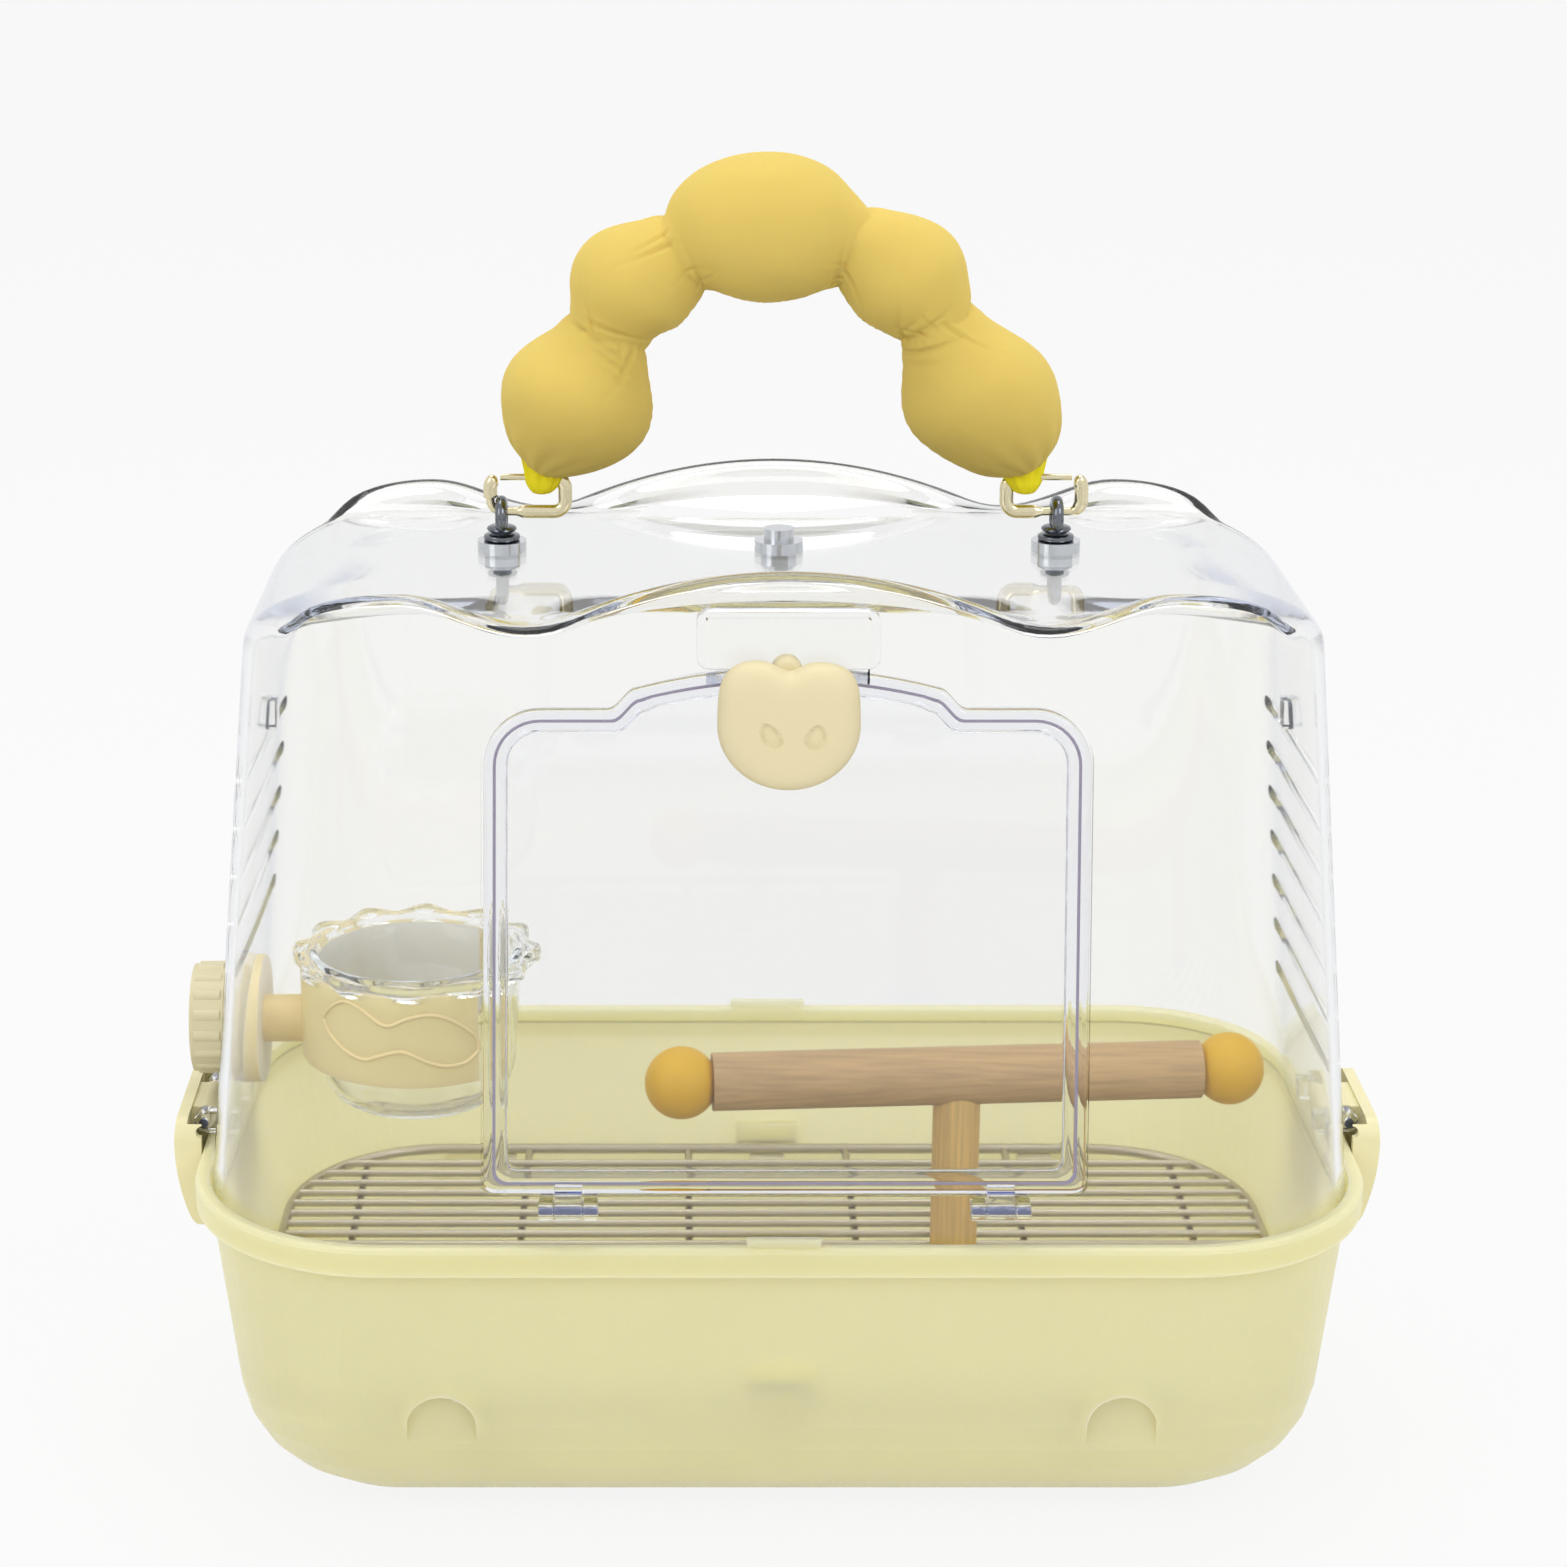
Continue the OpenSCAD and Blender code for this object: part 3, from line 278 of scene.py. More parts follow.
def fabric(name, color):
    """Fine plain weave in the cloth's UVs, over a crumple; a little light passes through the stuffing."""
    material, nt, shader = principled(name, color, 0.85, Specular_IOR_Level=0.2, Sheen_Weight=0.25,
                                      Sheen_Roughness=0.5, Sheen_Tint=(*shade(color, 1.1), 1),
                                      Subsurface_Weight=0.3, Subsurface_Scale=0.008,
                                      Subsurface_Radius=(1.0, 0.7, 0.25))
    base = vary(nt, object_noise(nt, scale=45, detail=4), color, 0.93, 1.05)
    nt.links.new(base, shader.inputs["Base Color"])
    uv = add_node(nt, "TexCoord").outputs["UV"]
    threads = []
    for axis in ("X", "Y"):
        wave = add_node(nt, "TexWave", {"Vector": uv, "Scale": 520}, bands_direction=axis)
        threads.append(wave.outputs["Fac"])
    weave = math_of(nt, "MAXIMUM", *threads)
    fine = bump(nt, shader, weave, distance=0.00012, strength=0.35)
    bump(nt, fine, object_noise(nt, scale=120, detail=3), distance=0.0012, strength=0.2)
    return material


def srgb(r, g, b):
    """Linear colour of an sRGB triple from 0 to 255."""
    return tuple((v / 255 / 12.92) if v <= 10 else ((v / 255 + 0.055) / 1.055) ** 2.4 for v in (r, g, b))


TUB_MIDDLE = (0, 0, 0.055)  # in metres, as is the next; faces turned towards these points get painted light
HOLDER_MIDDLE = (-0.098, 0, 0.117)
WATER_CLEAR = (0.985, 0.983, 0.968)

FINISH = {
    # The last colours of the tub and of the holder are painted light: paler colours on their inward faces,
    # standing in for light in their shaded insides.
    "tub": moulded("tub_cream", srgb(219, 211, 163), 0.36, 0.9, TUB_MIDDLE, srgb(240, 231, 184)),
    "latch": moulded("latch_cream", srgb(234, 226, 178), 0.36),
    "knob": moulded("knob_cream", srgb(222, 209, 168), 0.5),
    # Painted reflection: the blue-grey colour of the strip in the door's rib groove
    "line": moulded("rib_painted_reflection", srgb(172, 165, 188), 0.4),
    "nut": moulded("nut_cream", srgb(216, 206, 168), 0.42),
    "holder": moulded("holder_amber", srgb(240, 217, 158), 0.4, 0.5, HOLDER_MIDDLE, srgb(240, 236, 222)),
    "wave": moulded("wave_amber", srgb(236, 216, 162), 0.4),
    "washer": moulded("washer_grey", srgb(222, 222, 214), 0.6),
    "ball": moulded("ball_yellow", srgb(220, 172, 0), 0.5),
    # The second colour of each clear finish is a painted dark edge reflection.
    "cover": clear("cover_clear", WATER_CLEAR, (0.33, 0.39, 0.55), (0.62, 0.68, 0.84), density=11),
    "door": clear("door_clear", WATER_CLEAR, (0.30, 0.34, 0.46), (0.55, 0.62, 0.88), density=42),
    "cup": clear("cup_clear", (0.985, 0.99, 0.99), (0.6, 0.62, 0.64), (0.78, 0.85, 0.90), density=8),
    "steel": metal("wire_steel", srgb(188, 180, 160), 0.28),
    "pin": metal("pin_steel", srgb(104, 110, 142), 0.22),
    "screw": metal("screw_steel", srgb(190, 190, 190), 0.25),
    "stud": metal("stud_chrome", srgb(112, 116, 122), 0.08),
    "bright": metal("bright_chrome", srgb(205, 208, 212), 0.1),
    "snap": metal("snap_gilt", srgb(222, 212, 178), 0.12),
    "bar": wood("bar_beech", srgb(192, 160, 114), grain_axis=0),
    "post": wood("post_beech", srgb(222, 186, 116), grain_axis=2),
    "cloth": fabric("handle_cloth", srgb(224, 197, 104)),
    "tie": fabric("tie_cloth", srgb(250, 230, 40)),
}
# Solids that are shown as they are
SHOWN_SOLIDS = {
    "tub": ["tub"],
    "latch": ["side_latch_left", "side_latch_right"],
    "nut": ["feeder_nut"],
    "holder": ["feeder_holder"],
    "washer": ["feeder_washer"],
    "ball": ["perch_ball_left", "perch_ball_right"],
    "steel": ["grate_frame", "grate_wires"],
    "pin": ["door_hinge_pins", "side_latch_pins"],
    "screw": ["latch_screw", "perch_screw", "perch_washer"],
    "bright": ["toy_hook", "stud_washers", "stud_nuts"],
    "snap": ["snap_gate_left", "snap_gate_right"],
    "bar": ["perch_bar"],
    "post": ["perch_post"],
}
for key, names in SHOWN_SOLIDS.items():
    for name in names:
        materials = nodes[name].data.materials
        materials.clear()
        materials.append(FINISH[key])


# ---- mesh helpers; from here on all sizes are in mm
MM_PER_M = 1000
FLAT = 0.01  # half the flat that keeps the points of two round corners apart


def face_outward(mesh, weld=0):
    """Turns all faces outward, after points closer than the weld distance in metres are merged."""
    bm = bmesh.new()
    bm.from_mesh(mesh)
    if weld:
        bmesh.ops.remove_doubles(bm, verts=bm.verts, dist=weld)
    bmesh.ops.recalc_face_normals(bm, faces=bm.faces)
    bm.to_mesh(mesh)
    bm.free()


def smooth(mesh, sharp):
    mesh.shade_smooth()
    mesh.set_sharp_from_angle(angle=radians(sharp))


def solid(name, verts, faces, material=None, sharp=35):
    """Closed mesh from points in mm, smooth but for edges sharper than the given angle."""
    mesh = bpy.data.meshes.new(name)
    mesh.from_pydata([(x / MM_PER_M, y / MM_PER_M, z / MM_PER_M) for x, y, z in verts], [], faces)
    face_outward(mesh, weld=2e-6)
    smooth(mesh, sharp)
    if material:
        mesh.materials.append(material)
    return add_object(name, mesh)


def carve(o, tool, operation="DIFFERENCE", sharp=35):
    """Cuts one mesh from another, or joins it on, and keeps the result as plain mesh."""
    cut = o.modifiers.new("cut", "BOOLEAN")
    cut.operation = operation
    cut.solver = "MANIFOLD"
    cut.object = tool
    mesh = bpy.data.meshes.new_from_object(o.evaluated_get(bpy.context.evaluated_depsgraph_get()))
    o.modifiers.clear()
    o.data = mesh
    smooth(mesh, sharp)
    bpy.data.objects.remove(tool)


def place(o, body, slot, *stands_for):
    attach(o, body)
    if stands_for:
        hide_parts(*stands_for)


def join(parts):
    """Several (points, faces) lists as one."""
    verts, faces = [], []
    for v, f in parts:
        faces += [tuple(len(verts) + i for i in face) for face in f]
        verts += v
    return verts, faces


def stack(rings, closed_ends=True):
    """Faces between rings of equally many points."""
    n = len(rings[0])
    verts = [p for ring in rings for p in ring]
    faces = [(i * n + j, i * n + (j + 1) % n, (i + 1) * n + (j + 1) % n, (i + 1) * n + j)
             for i in range(len(rings) - 1) for j in range(n)]
    if closed_ends:
        faces += [tuple(reversed(range(n))), tuple((len(rings) - 1) * n + j for j in range(n))]
    return verts, faces


def turns(count):
    """Angles of a full turn in equal steps."""
    return [2 * pi * i / count for i in range(count)]


def shrink(line, inset):
    """Moves each point of a closed outline inward, square to its neighbours."""
    n = len(line)
    area = sum(line[i - 1][0] * line[i][1] - line[i][0] * line[i - 1][1] for i in range(n))
    side = 1 if area > 0 else -1
    out = []
    for i in range(n):
        (ax, ay), (bx, by), (cx, cy) = line[i - 1], line[i], line[(i + 1) % n]
        u = Vector((bx - ax, by - ay)).normalized()
        v = Vector((cx - bx, cy - by)).normalized()
        mid = (u + v).normalized()
        k = inset / max(0.5, mid.dot(u))
        out.append((bx - side * mid.y * k, by + side * mid.x * k))
    return out


def slab(line, to, low, high, edge=0.0):
    """Outline pushed out from low to high, with an edge bevel at both faces; to maps it into the room."""
    if edge <= 0:
        levels = [(low, 0), (high, 0)]
    else:
        levels = [(low, edge), (low + 0.3 * edge, 0.3 * edge), (low + edge, 0),
                  (high - edge, 0), (high - 0.3 * edge, 0.3 * edge), (high, edge)]
    return stack([[to(x, y, h) for x, y in shrink(line, off)] for h, off in levels])


def arc(cx, cy, r, start, turn, steps):
    """Points along an arc; start and turn are in degrees."""
    angles = [radians(start + turn * i / steps) for i in range(steps + 1)]
    return [(cx + r * cos(a), cy + r * sin(a)) for a in angles]


def rounded_line(w, h, r, steps=6, cx=0.0, cy=0.0):
    """Rectangle with round corners, each an arc of so many steps."""
    pts = []
    for sx, sy, start in ((1, -1, -90), (1, 1, 0), (-1, 1, 90), (-1, -1, 180)):
        pts += arc(cx + sx * (w / 2 - r), cy + sy * (h / 2 - r), r, start, 90, steps)
    return pts


def bore(width, to, low, high, steps):
    """Round rod, to cut a hole with."""
    return slab(rounded_line(width, width, width / 2 - FLAT, steps), to, low, high)


def facing_x(x, y, z, side=1):
    """Maps an outline so that it is pushed out along X, or along -X on side -1."""
    return lambda u, v, w: (x + side * w, y + u, z + v)


def facing_y(x, y, z, side=1):
    """Maps an outline so that it is pushed out along Y; side turns it left to right."""
    return lambda u, v, w: (x - side * u, y + w, z + v)


def facing_z(x, y):
    return lambda u, v, w: (x + u, y + v, w)


def smoothstep(t):
    t = max(0.0, min(1.0, t))
    return t * t * (3 - 2 * t)


def blur(values, sigma, reach):
    """Soft average along a row of numbers whose ends go on."""
    kernel = np.exp(-0.5 * (np.arange(-reach, reach + 1) / sigma) ** 2)
    kernel /= kernel.sum()
    return np.convolve(np.pad(values, reach, mode="edge"), kernel, mode="valid")


def spline(points, steps):
    """Smooth curve through the points, as rows with the station number in front."""
    rows = []
    last = len(points) - 1
    for i in range(last):
        near = [points[max(0, min(last, i + k))] for k in (-1, 0, 1, 2)]
        for j in range(steps):
            t = j / steps
            row = [i + t]
            for a, b, c, d in zip(*near):
                cubic = (3 * b - a - 3 * c + d) * t ** 3
                row.append(0.5 * (2 * b + (c - a) * t + (2 * a - 5 * b + 4 * c - d) * t * t + cubic))
            rows.append(row)
    rows.append([last] + list(points[-1]))
    return rows


def lug(r, reach, to, half):
    """Lug with a round end at its pin, straight back to the wall on the +u side, and so thick each way."""
    return slab(arc(0, 0, r, 90, 180, 15) + [(reach, -r), (reach, r)], to, -half, half, 0.4)


# ---- clear cover: form
SEAT, ROOF = 84, 245
FOOT_X, FOOT_Y, FOOT_R, CROWN_R = 150.6, 83.1, 48.6, 40.0
LEAN, WALL = 14, 2.4
LEAN_ANGLE = atan(LEAN / (ROOF - SEAT))
UP = 1 / cos(LEAN_ANGLE)  # length of wall per mm of height
WAVE_RISE, WAVE_HALF, WAVE_ARCH = 13.6, 64, 54
HUMP_RISE, HUMP_X = 7.6, 95
CORNER_DROP, CORNER_REACH = 12, 32
CORNER_Z = ROOF - CORNER_DROP
RIDGE_BASE, RIDGE_TOP = 13.5, 6.0  # from the wall to the two edges of the ridge's slope
# Skin: rows on the wall, on the flat middle of the roof, and between them at these lengths from the edge
WALL_ROWS, ROOF_ROWS = 9, 7
EDGE_ROWS_AT = [-14, -11, -8.5, -6.5, -5, -3.8, -2.8, -1.9, -1, -0.2, 0.6, 1.5, 2.5, 3.6, 4.8, 6, 7.2, 8.5,
                10, 12, 14.5, 18, 22, 27, 33]
EDGE_DOWN, EDGE_IN = 24, 40  # the stretch of wall and of roof that are rounded
EDGE_SOFT, EDGE_STEP = 2.1, 0.4
INNER_SKIN_ROUNDS = 18


def plan(z):
    """Half width, half depth and corner radius of the cover walls at a height."""
    t = (z - SEAT) / (ROOF - SEAT)
    return FOOT_X - LEAN * t, FOOT_Y - LEAN * t, FOOT_R + (CROWN_R - FOOT_R) * t


CORNER_X = plan(CORNER_Z)[0]
CROWN_X, CROWN_Y = plan(ROOF)[:2]


def wave_height(x):
    """Top of the ridge: an arch in the middle, a hollow beside it and a hump further out."""
    bend = WAVE_RISE / (WAVE_ARCH * WAVE_HALF)
    if x < WAVE_ARCH:
        return ROOF + WAVE_RISE - bend * x * x
    if x < WAVE_HALF:
        return ROOF + bend * WAVE_ARCH / (WAVE_HALF - WAVE_ARCH) * (WAVE_HALF - x) ** 2
    return ROOF + HUMP_RISE * (1 - cos(pi * (x - WAVE_HALF) / (HUMP_X - WAVE_HALF))) / 2


def shoulder(x, start, top):
    """Falls from the top to the corner's height, first slowly and then fast."""
    t = max(0.0, min(1.0, (x - start) / (CORNER_X - start)))
    return CORNER_Z + (top - CORNER_Z) * sqrt(1 - t * t)


def roof_height(x, y):
    x = abs(x)
    flat = shoulder(x, CORNER_X - CORNER_REACH, ROOF)
    ridge = wave_height(x) if x < HUMP_X else shoulder(x, HUMP_X, ROOF + HUMP_RISE)
    return flat + (ridge - flat) * smoothstep((abs(y) - CROWN_Y + RIDGE_BASE) / (RIDGE_BASE - RIDGE_TOP))


def loop_spots(long_steps=60, corner_steps=22, short_steps=14):
    """Spots round a rounded rectangle: shares of the straight halves, and the outward normal."""
    spots = []
    for side in range(4):
        start = -90 + 90 * side
        nx, ny = round(cos(radians(start))), round(sin(radians(start)))
        count = long_steps if side % 2 == 0 else short_steps
        for i in range(count):
            k = -1 + 2 * i / count
            spots.append((nx - ny * k, ny + nx * k, nx, ny))
        for i in range(corner_steps):
            a = radians(start + 90 * i / corner_steps)
            spots.append((nx - ny, ny + nx, cos(a), sin(a)))
    return spots


def wall_point(spot, z):
    """Point of the wall at a height."""
    share_x, share_y, nx, ny = spot
    half_x, half_y, r = plan(z)
    return (half_x - r) * share_x + r * nx, (half_y - r) * share_y + r * ny, z


def edge_height(spot):
    """Height at which the wall meets the roof."""
    z = ROOF
    for _ in range(24):
        z = 0.5 * (z + roof_height(*wall_point(spot, z)[:2]))
    return z


def rounded_edge(spot, core):
    """Points up the wall, over the rounded edge and some way in over the roof, at EDGE_ROWS_AT."""
    wall_steps, roof_steps = 40, 100
    top = edge_height(spot)
    path = [Vector(wall_point(spot, top - EDGE_DOWN + EDGE_DOWN * i / wall_steps))
            for i in range(wall_steps + 1)]
    edge = Vector(wall_point(spot, top)).to_2d()
    span = (core - edge).length
    for i in range(1, roof_steps + 1):
        q = edge + (core - edge) * (min(span, EDGE_IN) * (i / roof_steps) ** 2 / span)
        path.append(Vector((q.x, q.y, roof_height(q.x, q.y))))
    run = [0.0]
    for a, b in zip(path, path[1:]):
        run.append(run[-1] + (b - a).length)
    run = np.array(run) - run[wall_steps]
    line = np.array([tuple(v) for v in path])
    ticks = np.arange(1 - EDGE_DOWN, EDGE_IN - 2, EDGE_STEP)
    even = np.stack([np.interp(ticks, run, line[:, c]) for c in range(3)], axis=1)
    soft = np.stack([blur(even[:, c], EDGE_SOFT / EDGE_STEP, 16) for c in range(3)], axis=1)
    fade = np.clip((ticks + 20) / 6, 0, 1)[:, None] * np.clip((36 - ticks) / 4, 0, 1)[:, None]
    soft = even + (soft - even) * fade
    return [np.array([np.interp(at, ticks, soft[:, c]) for c in range(3)]) for at in EDGE_ROWS_AT]


def cover_profile(spot):
    """One line of the outer skin from the foot, over the rounded edge, to the middle of the roof."""
    reach = CROWN_X - CROWN_Y
    edge_x = Vector(wall_point(spot, edge_height(spot))).x
    core = Vector((max(-reach, min(reach, edge_x)), 0))
    edge_rows = rounded_edge(spot, core)
    low, last = edge_rows[0], edge_rows[-1][:2]
    rows = [np.array(wall_point(spot, SEAT + (low[2] - SEAT) * i / WALL_ROWS)) for i in range(WALL_ROWS)]
    rows += edge_rows
    for i in range(1, ROOF_ROWS + 1):
        x, y = last + (np.array(core) - last) * (i / ROOF_ROWS)
        rows.append(np.array((x, y, roof_height(x, y) if i < ROOF_ROWS else ROOF)))
    return rows


def cover_skins():
    """Outer and inner skin as grids of points: spots round the cover, rows from the foot up."""
    outer = np.array([cover_profile(spot) for spot in loop_spots()])
    around = np.roll(outer, -1, axis=0) - np.roll(outer, 1, axis=0)
    up = np.empty_like(outer)
    up[:, 1:-1] = outer[:, 2:] - outer[:, :-2]
    up[:, 0] = outer[:, 1] - outer[:, 0]
    up[:, -1] = outer[:, -1] - outer[:, -2]
    outward = np.cross(around, up)
    outward[:, -ROOF_ROWS:] = (0, 0, 1)
    outward /= np.maximum(np.linalg.norm(outward, axis=2, keepdims=True), 1e-9)
    inner = outer - WALL * outward
    inner[:, 0, 2] = SEAT
    # Rounds the inner skin, which would fold where the edge is tight
    for _ in range(INNER_SKIN_ROUNDS):
        edge = inner[:, WALL_ROWS:-ROOF_ROWS - 1]
        mean = 0.5 * (inner[:, WALL_ROWS - 1:-ROOF_ROWS - 2] + inner[:, WALL_ROWS + 1:-ROOF_ROWS])
        edge += 0.5 * (mean - edge)
    return outer, inner


def bare_cover():
    outer, inner = cover_skins()
    spots, rows = outer.shape[:2]
    verts = [tuple(v) for skin in (outer, inner) for v in skin.reshape(-1, 3)]
    half = spots * rows
    faces = []
    for i in range(spots):
        j = (i + 1) % spots
        for k in range(rows - 1):
            a, b, c, d = i * rows + k, j * rows + k, j * rows + k + 1, i * rows + k + 1
            faces.append((a, b, c, d))
            faces.append((half + d, half + c, half + b, half + a))
        faces.append((i * rows, half + i * rows, half + j * rows, j * rows))
    return solid("cover_clear", verts, faces, FINISH["cover"], 50)


# ---- clear cover: door frame, lugs and openings
BACK = 12  # the handle's plane lies this far behind the middle
STUD_X = 73.5
SUNK = 1.2  # lugs start this deep in the wall
DOOR_W, DOOR_TOP_W, DOOR_Z, SHOULDER_Z = 152, 149.5, 101, 225
ARCH_RISE, ARCH_HALF = 10, 37
DOOR_R, DOOR_FOOT_R, OGEE_X, OGEE_Z, DOOR_GAP = 14, 3, 7.2, 5.2, 0.6
KEEPER_Z = SHOULDER_Z + ARCH_RISE + 0.9
KEEPER_W, KEEPER_TALL, KEEPER_R, KEEPER_OUT = 44.8, 14.3, 3, 5.7
POCKET_W, POCKET_TALL, POCKET_MID, POCKET_DEEP = 40, 17.1, 3.55, 3.9
HINGE_X, HINGE_R, HINGE_Z, HINGE_GAP = 54.5, 2.4, 97.5, 0.5
HINGE_Y = -(plan(HINGE_Z)[1] + HINGE_R + HINGE_GAP)
COVER_LUG_X, COVER_LUG_HALF, DOOR_LUG_HALF = 5.65, 1.85, 3.5
LATCH_X, LATCH_Z, LATCH_LUG_Y, LATCH_LUG_R, LATCH_LUG_HALF = 155.5, 91.8, 12, 2.8, 3
BOSS_Z, BOSS_SIDE, BOSS_R = 204, 8, 1.5
SLOT_TOP, SLOT_PITCH, SLOT_COUNT = 196, 13, 7
SLOT_LONG, SLOT_TALL = 78, 4
FEEDER_Z, FEEDER_CLEAR_Z, STEM_BORE = 117, 138.5, 9
PIN_BORE, LATCH_PIN_BORE, STUD_BORE = 2.08, 2.68, 5.3


def on_front(z0):
    """Maps across, up the leaning front wall, and outward from it."""
    s, c = sin(LEAN_ANGLE), cos(LEAN_ANGLE)
    y0 = -plan(z0)[1]
    return lambda x, y, z: (x, y0 + y * s - z * c, z0 + y * c + z * s)


def door_line(inset):
    """Outline of the door: round feet, round shoulders, an ogee and a low arch."""
    low = (DOOR_Z - SEAT) * UP + inset
    sh = (SHOULDER_Z - SEAT) * UP - inset
    half_foot, half_top = DOOR_W / 2 - inset, DOOR_TOP_W / 2 - inset
    r = DOOR_R - inset
    top = ARCH_RISE - OGEE_Z
    arch_r = (ARCH_HALF ** 2 + top * top) / (2 * top)
    arch_half = ARCH_HALF - inset * 0.4
    right = arc(half_foot - DOOR_FOOT_R, low + DOOR_FOOT_R, DOOR_FOOT_R, -90, 90, 4)
    right += arc(half_top - r, sh - r, r, 0, 90, 10)
    for i in range(9):
        right.append((arch_half + OGEE_X * (1 - i / 8), sh + OGEE_Z * (1 - cos(pi * i / 8)) / 2))
    for i in range(1, 15):
        x = arch_half * (1 - i / 14)
        right.append((x, sh + OGEE_Z + top - arch_r + sqrt(arch_r ** 2 - x * x)))
    return right + [(-x, y) for x, y in reversed(right[:-1])]


def cover_additions():
    """Keeper of the turn latch, hinge lugs of the door and end latches, and a boss inside each end wall."""
    adds = [slab(rounded_line(KEEPER_W, KEEPER_TALL, KEEPER_R, 6, 0, KEEPER_TALL / 2), on_front(KEEPER_Z),
                 -SUNK, KEEPER_OUT, 0.7)]
    for sx in (-1, 1):
        for st in (-1, 1):
            to = facing_x(sx * HINGE_X + st * COVER_LUG_X, HINGE_Y, HINGE_Z)
            adds.append(lug(HINGE_R, HINGE_R + HINGE_GAP + SUNK, to, COVER_LUG_HALF))
        for sy in (-1, 1):
            to = facing_y(sx * LATCH_X, sy * LATCH_LUG_Y, LATCH_Z, sx)
            adds.append(lug(LATCH_LUG_R, LATCH_X - plan(LATCH_Z)[0] + SUNK, to, LATCH_LUG_HALF))
        to = facing_x(sx * (plan(BOSS_Z)[0] - WALL - 1), 0, BOSS_Z, sx)
        adds.append(slab(rounded_line(BOSS_SIDE, BOSS_SIDE, BOSS_R), to, -2, 2, 0.5))
    return adds


def cover_openings():
    """Doorway, keeper pocket, air slots, and the bores for the pins, the studs and the feeder's stem."""
    cuts = [slab(door_line(-DOOR_GAP), on_front(SEAT), -WALL - 4, 4),
            slab(rounded_line(POCKET_W, POCKET_TALL, 0.8, 3, 0, POCKET_MID), on_front(KEEPER_Z),
                 0, POCKET_DEEP)]
    for sx in (-1, 1):
        for i in range(SLOT_COUNT):
            z = SLOT_TOP - SLOT_PITCH * i
            if sx > 0 or z >= FEEDER_CLEAR_Z:
                to = facing_x(sx * (plan(z)[0] - WALL / 2), 0, z, sx)
                cuts.append(slab(rounded_line(SLOT_LONG, SLOT_TALL, SLOT_TALL / 2 - FLAT, 8), to, -5, 5))
        cuts.append(bore(PIN_BORE, facing_x(sx * HINGE_X, HINGE_Y, HINGE_Z), -8.5, 8.5, 5))
        cuts.append(bore(LATCH_PIN_BORE, facing_y(sx * LATCH_X, 0, LATCH_Z, -1), -22, 22, 5))
    for x in (-STUD_X, 0, STUD_X):
        cuts.append(bore(STUD_BORE, facing_z(x, BACK), 240, 250, 8))
    cuts.append(bore(STEM_BORE, facing_x(0, 0, FEEDER_Z), -156, -140, 8))
    return cuts


def make_cover():
    shell = bare_cover()
    carve(shell, solid("adds", *join(cover_additions())), "UNION")
    carve(shell, solid("cuts", *join(cover_openings())))
    place(shell, "cover", "clear_cover", "cover_shell")


# ---- door
KNOB_Z = 223
DOOR_FACE, DOOR_BACK = -0.1, -2.3
# Section of the door's double bead: inset from the edge and rise above the face
BEAD = [(0, 0.35), (0.25, 0.8), (0.75, 1.15), (1.45, 1.3), (2.15, 1.15), (2.6, 0.85), (2.9, 0.85),
        (3.35, 1.15), (4.05, 1.3), (4.75, 1.1), (5.2, 0.7), (5.5, 0.25), (5.9, 0.0), (6.3, 0.0), (7.0, 0.0)]
# Painted reflection strip in the rib groove: its two insets from the edge, and its low and high face
LINE_INSETS, LINE_LOW, LINE_HIGH = (2.3, 3.2), -0.2, 0.5


def make_door():
    to = on_front(SEAT)
    rings = [[to(x, y, DOOR_FACE + rise) for x, y in door_line(inset)] for inset, rise in reversed(BEAD)]
    rings += [[to(x, y, DOOR_BACK - rise) for x, y in door_line(inset)] for inset, rise in BEAD]
    panel = solid("door_clear", *stack(rings), FINISH["door"], 35)
    bores = []
    for sx in (-1, 1):
        pin = facing_x(sx * HINGE_X, HINGE_Y, HINGE_Z)
        knuckle = lug(HINGE_R, HINGE_R + HINGE_GAP, pin, DOOR_LUG_HALF)
        web_line = [(0, 0), (HINGE_R + 0.2, 0), (HINGE_R + HINGE_GAP, 6.2), (0.5, 6.2)]
        web = slab(web_line, pin, 0.02 - DOOR_LUG_HALF, DOOR_LUG_HALF - 0.02, 0.3)
        for part in (knuckle, web):
            carve(panel, solid("knuckle", *part), "UNION")
        bores.append(bore(2.16, pin, -5, 5, 5))
    bores.append(bore(3.16, on_front(KNOB_Z), -7, 7, 6))
    carve(panel, solid("pins", *join(bores)))
    place(panel, "door", "clear_door", "door_panel")


def make_rib_painted_reflection():
    """Painted reflection: a thin blue-grey strip between the two beads of the door's rib, standing in for
    the dark line that the clear groove shows.
    """
    to = on_front(SEAT)
    near, far = LINE_INSETS
    section = ((near, LINE_LOW), (near, LINE_HIGH), (far, LINE_HIGH), (far, LINE_LOW), (near, LINE_LOW))
    rings = [[to(x, y, DOOR_FACE + rise) for x, y in door_line(inset)] for inset, rise in section]
    line = solid("door_rib_painted_reflection", *stack(rings, closed_ends=False), FINISH["line"], 60)
    place(line, "door", "clear_door")


# ---- latch knob
KNOB_HALF_W, KNOB_HALF_H = 17.4, 15.9
KNOB_BACK, KNOB_BULGE, KNOB_THICK = 6.2, 3.4, 9.8  # out to its back face, back bulge and whole thickness
NOTCH_DEEP, NOTCH_SPREAD = 2.4, 15  # spreads and angles in degrees
EAR_OUT, EAR_AT, EAR_SPREAD = 0.5, 122, 16
DIMPLES = [(-4.6, -1.3, 0.35), (6.4, -1.7, -0.15)]  # X, height and lean
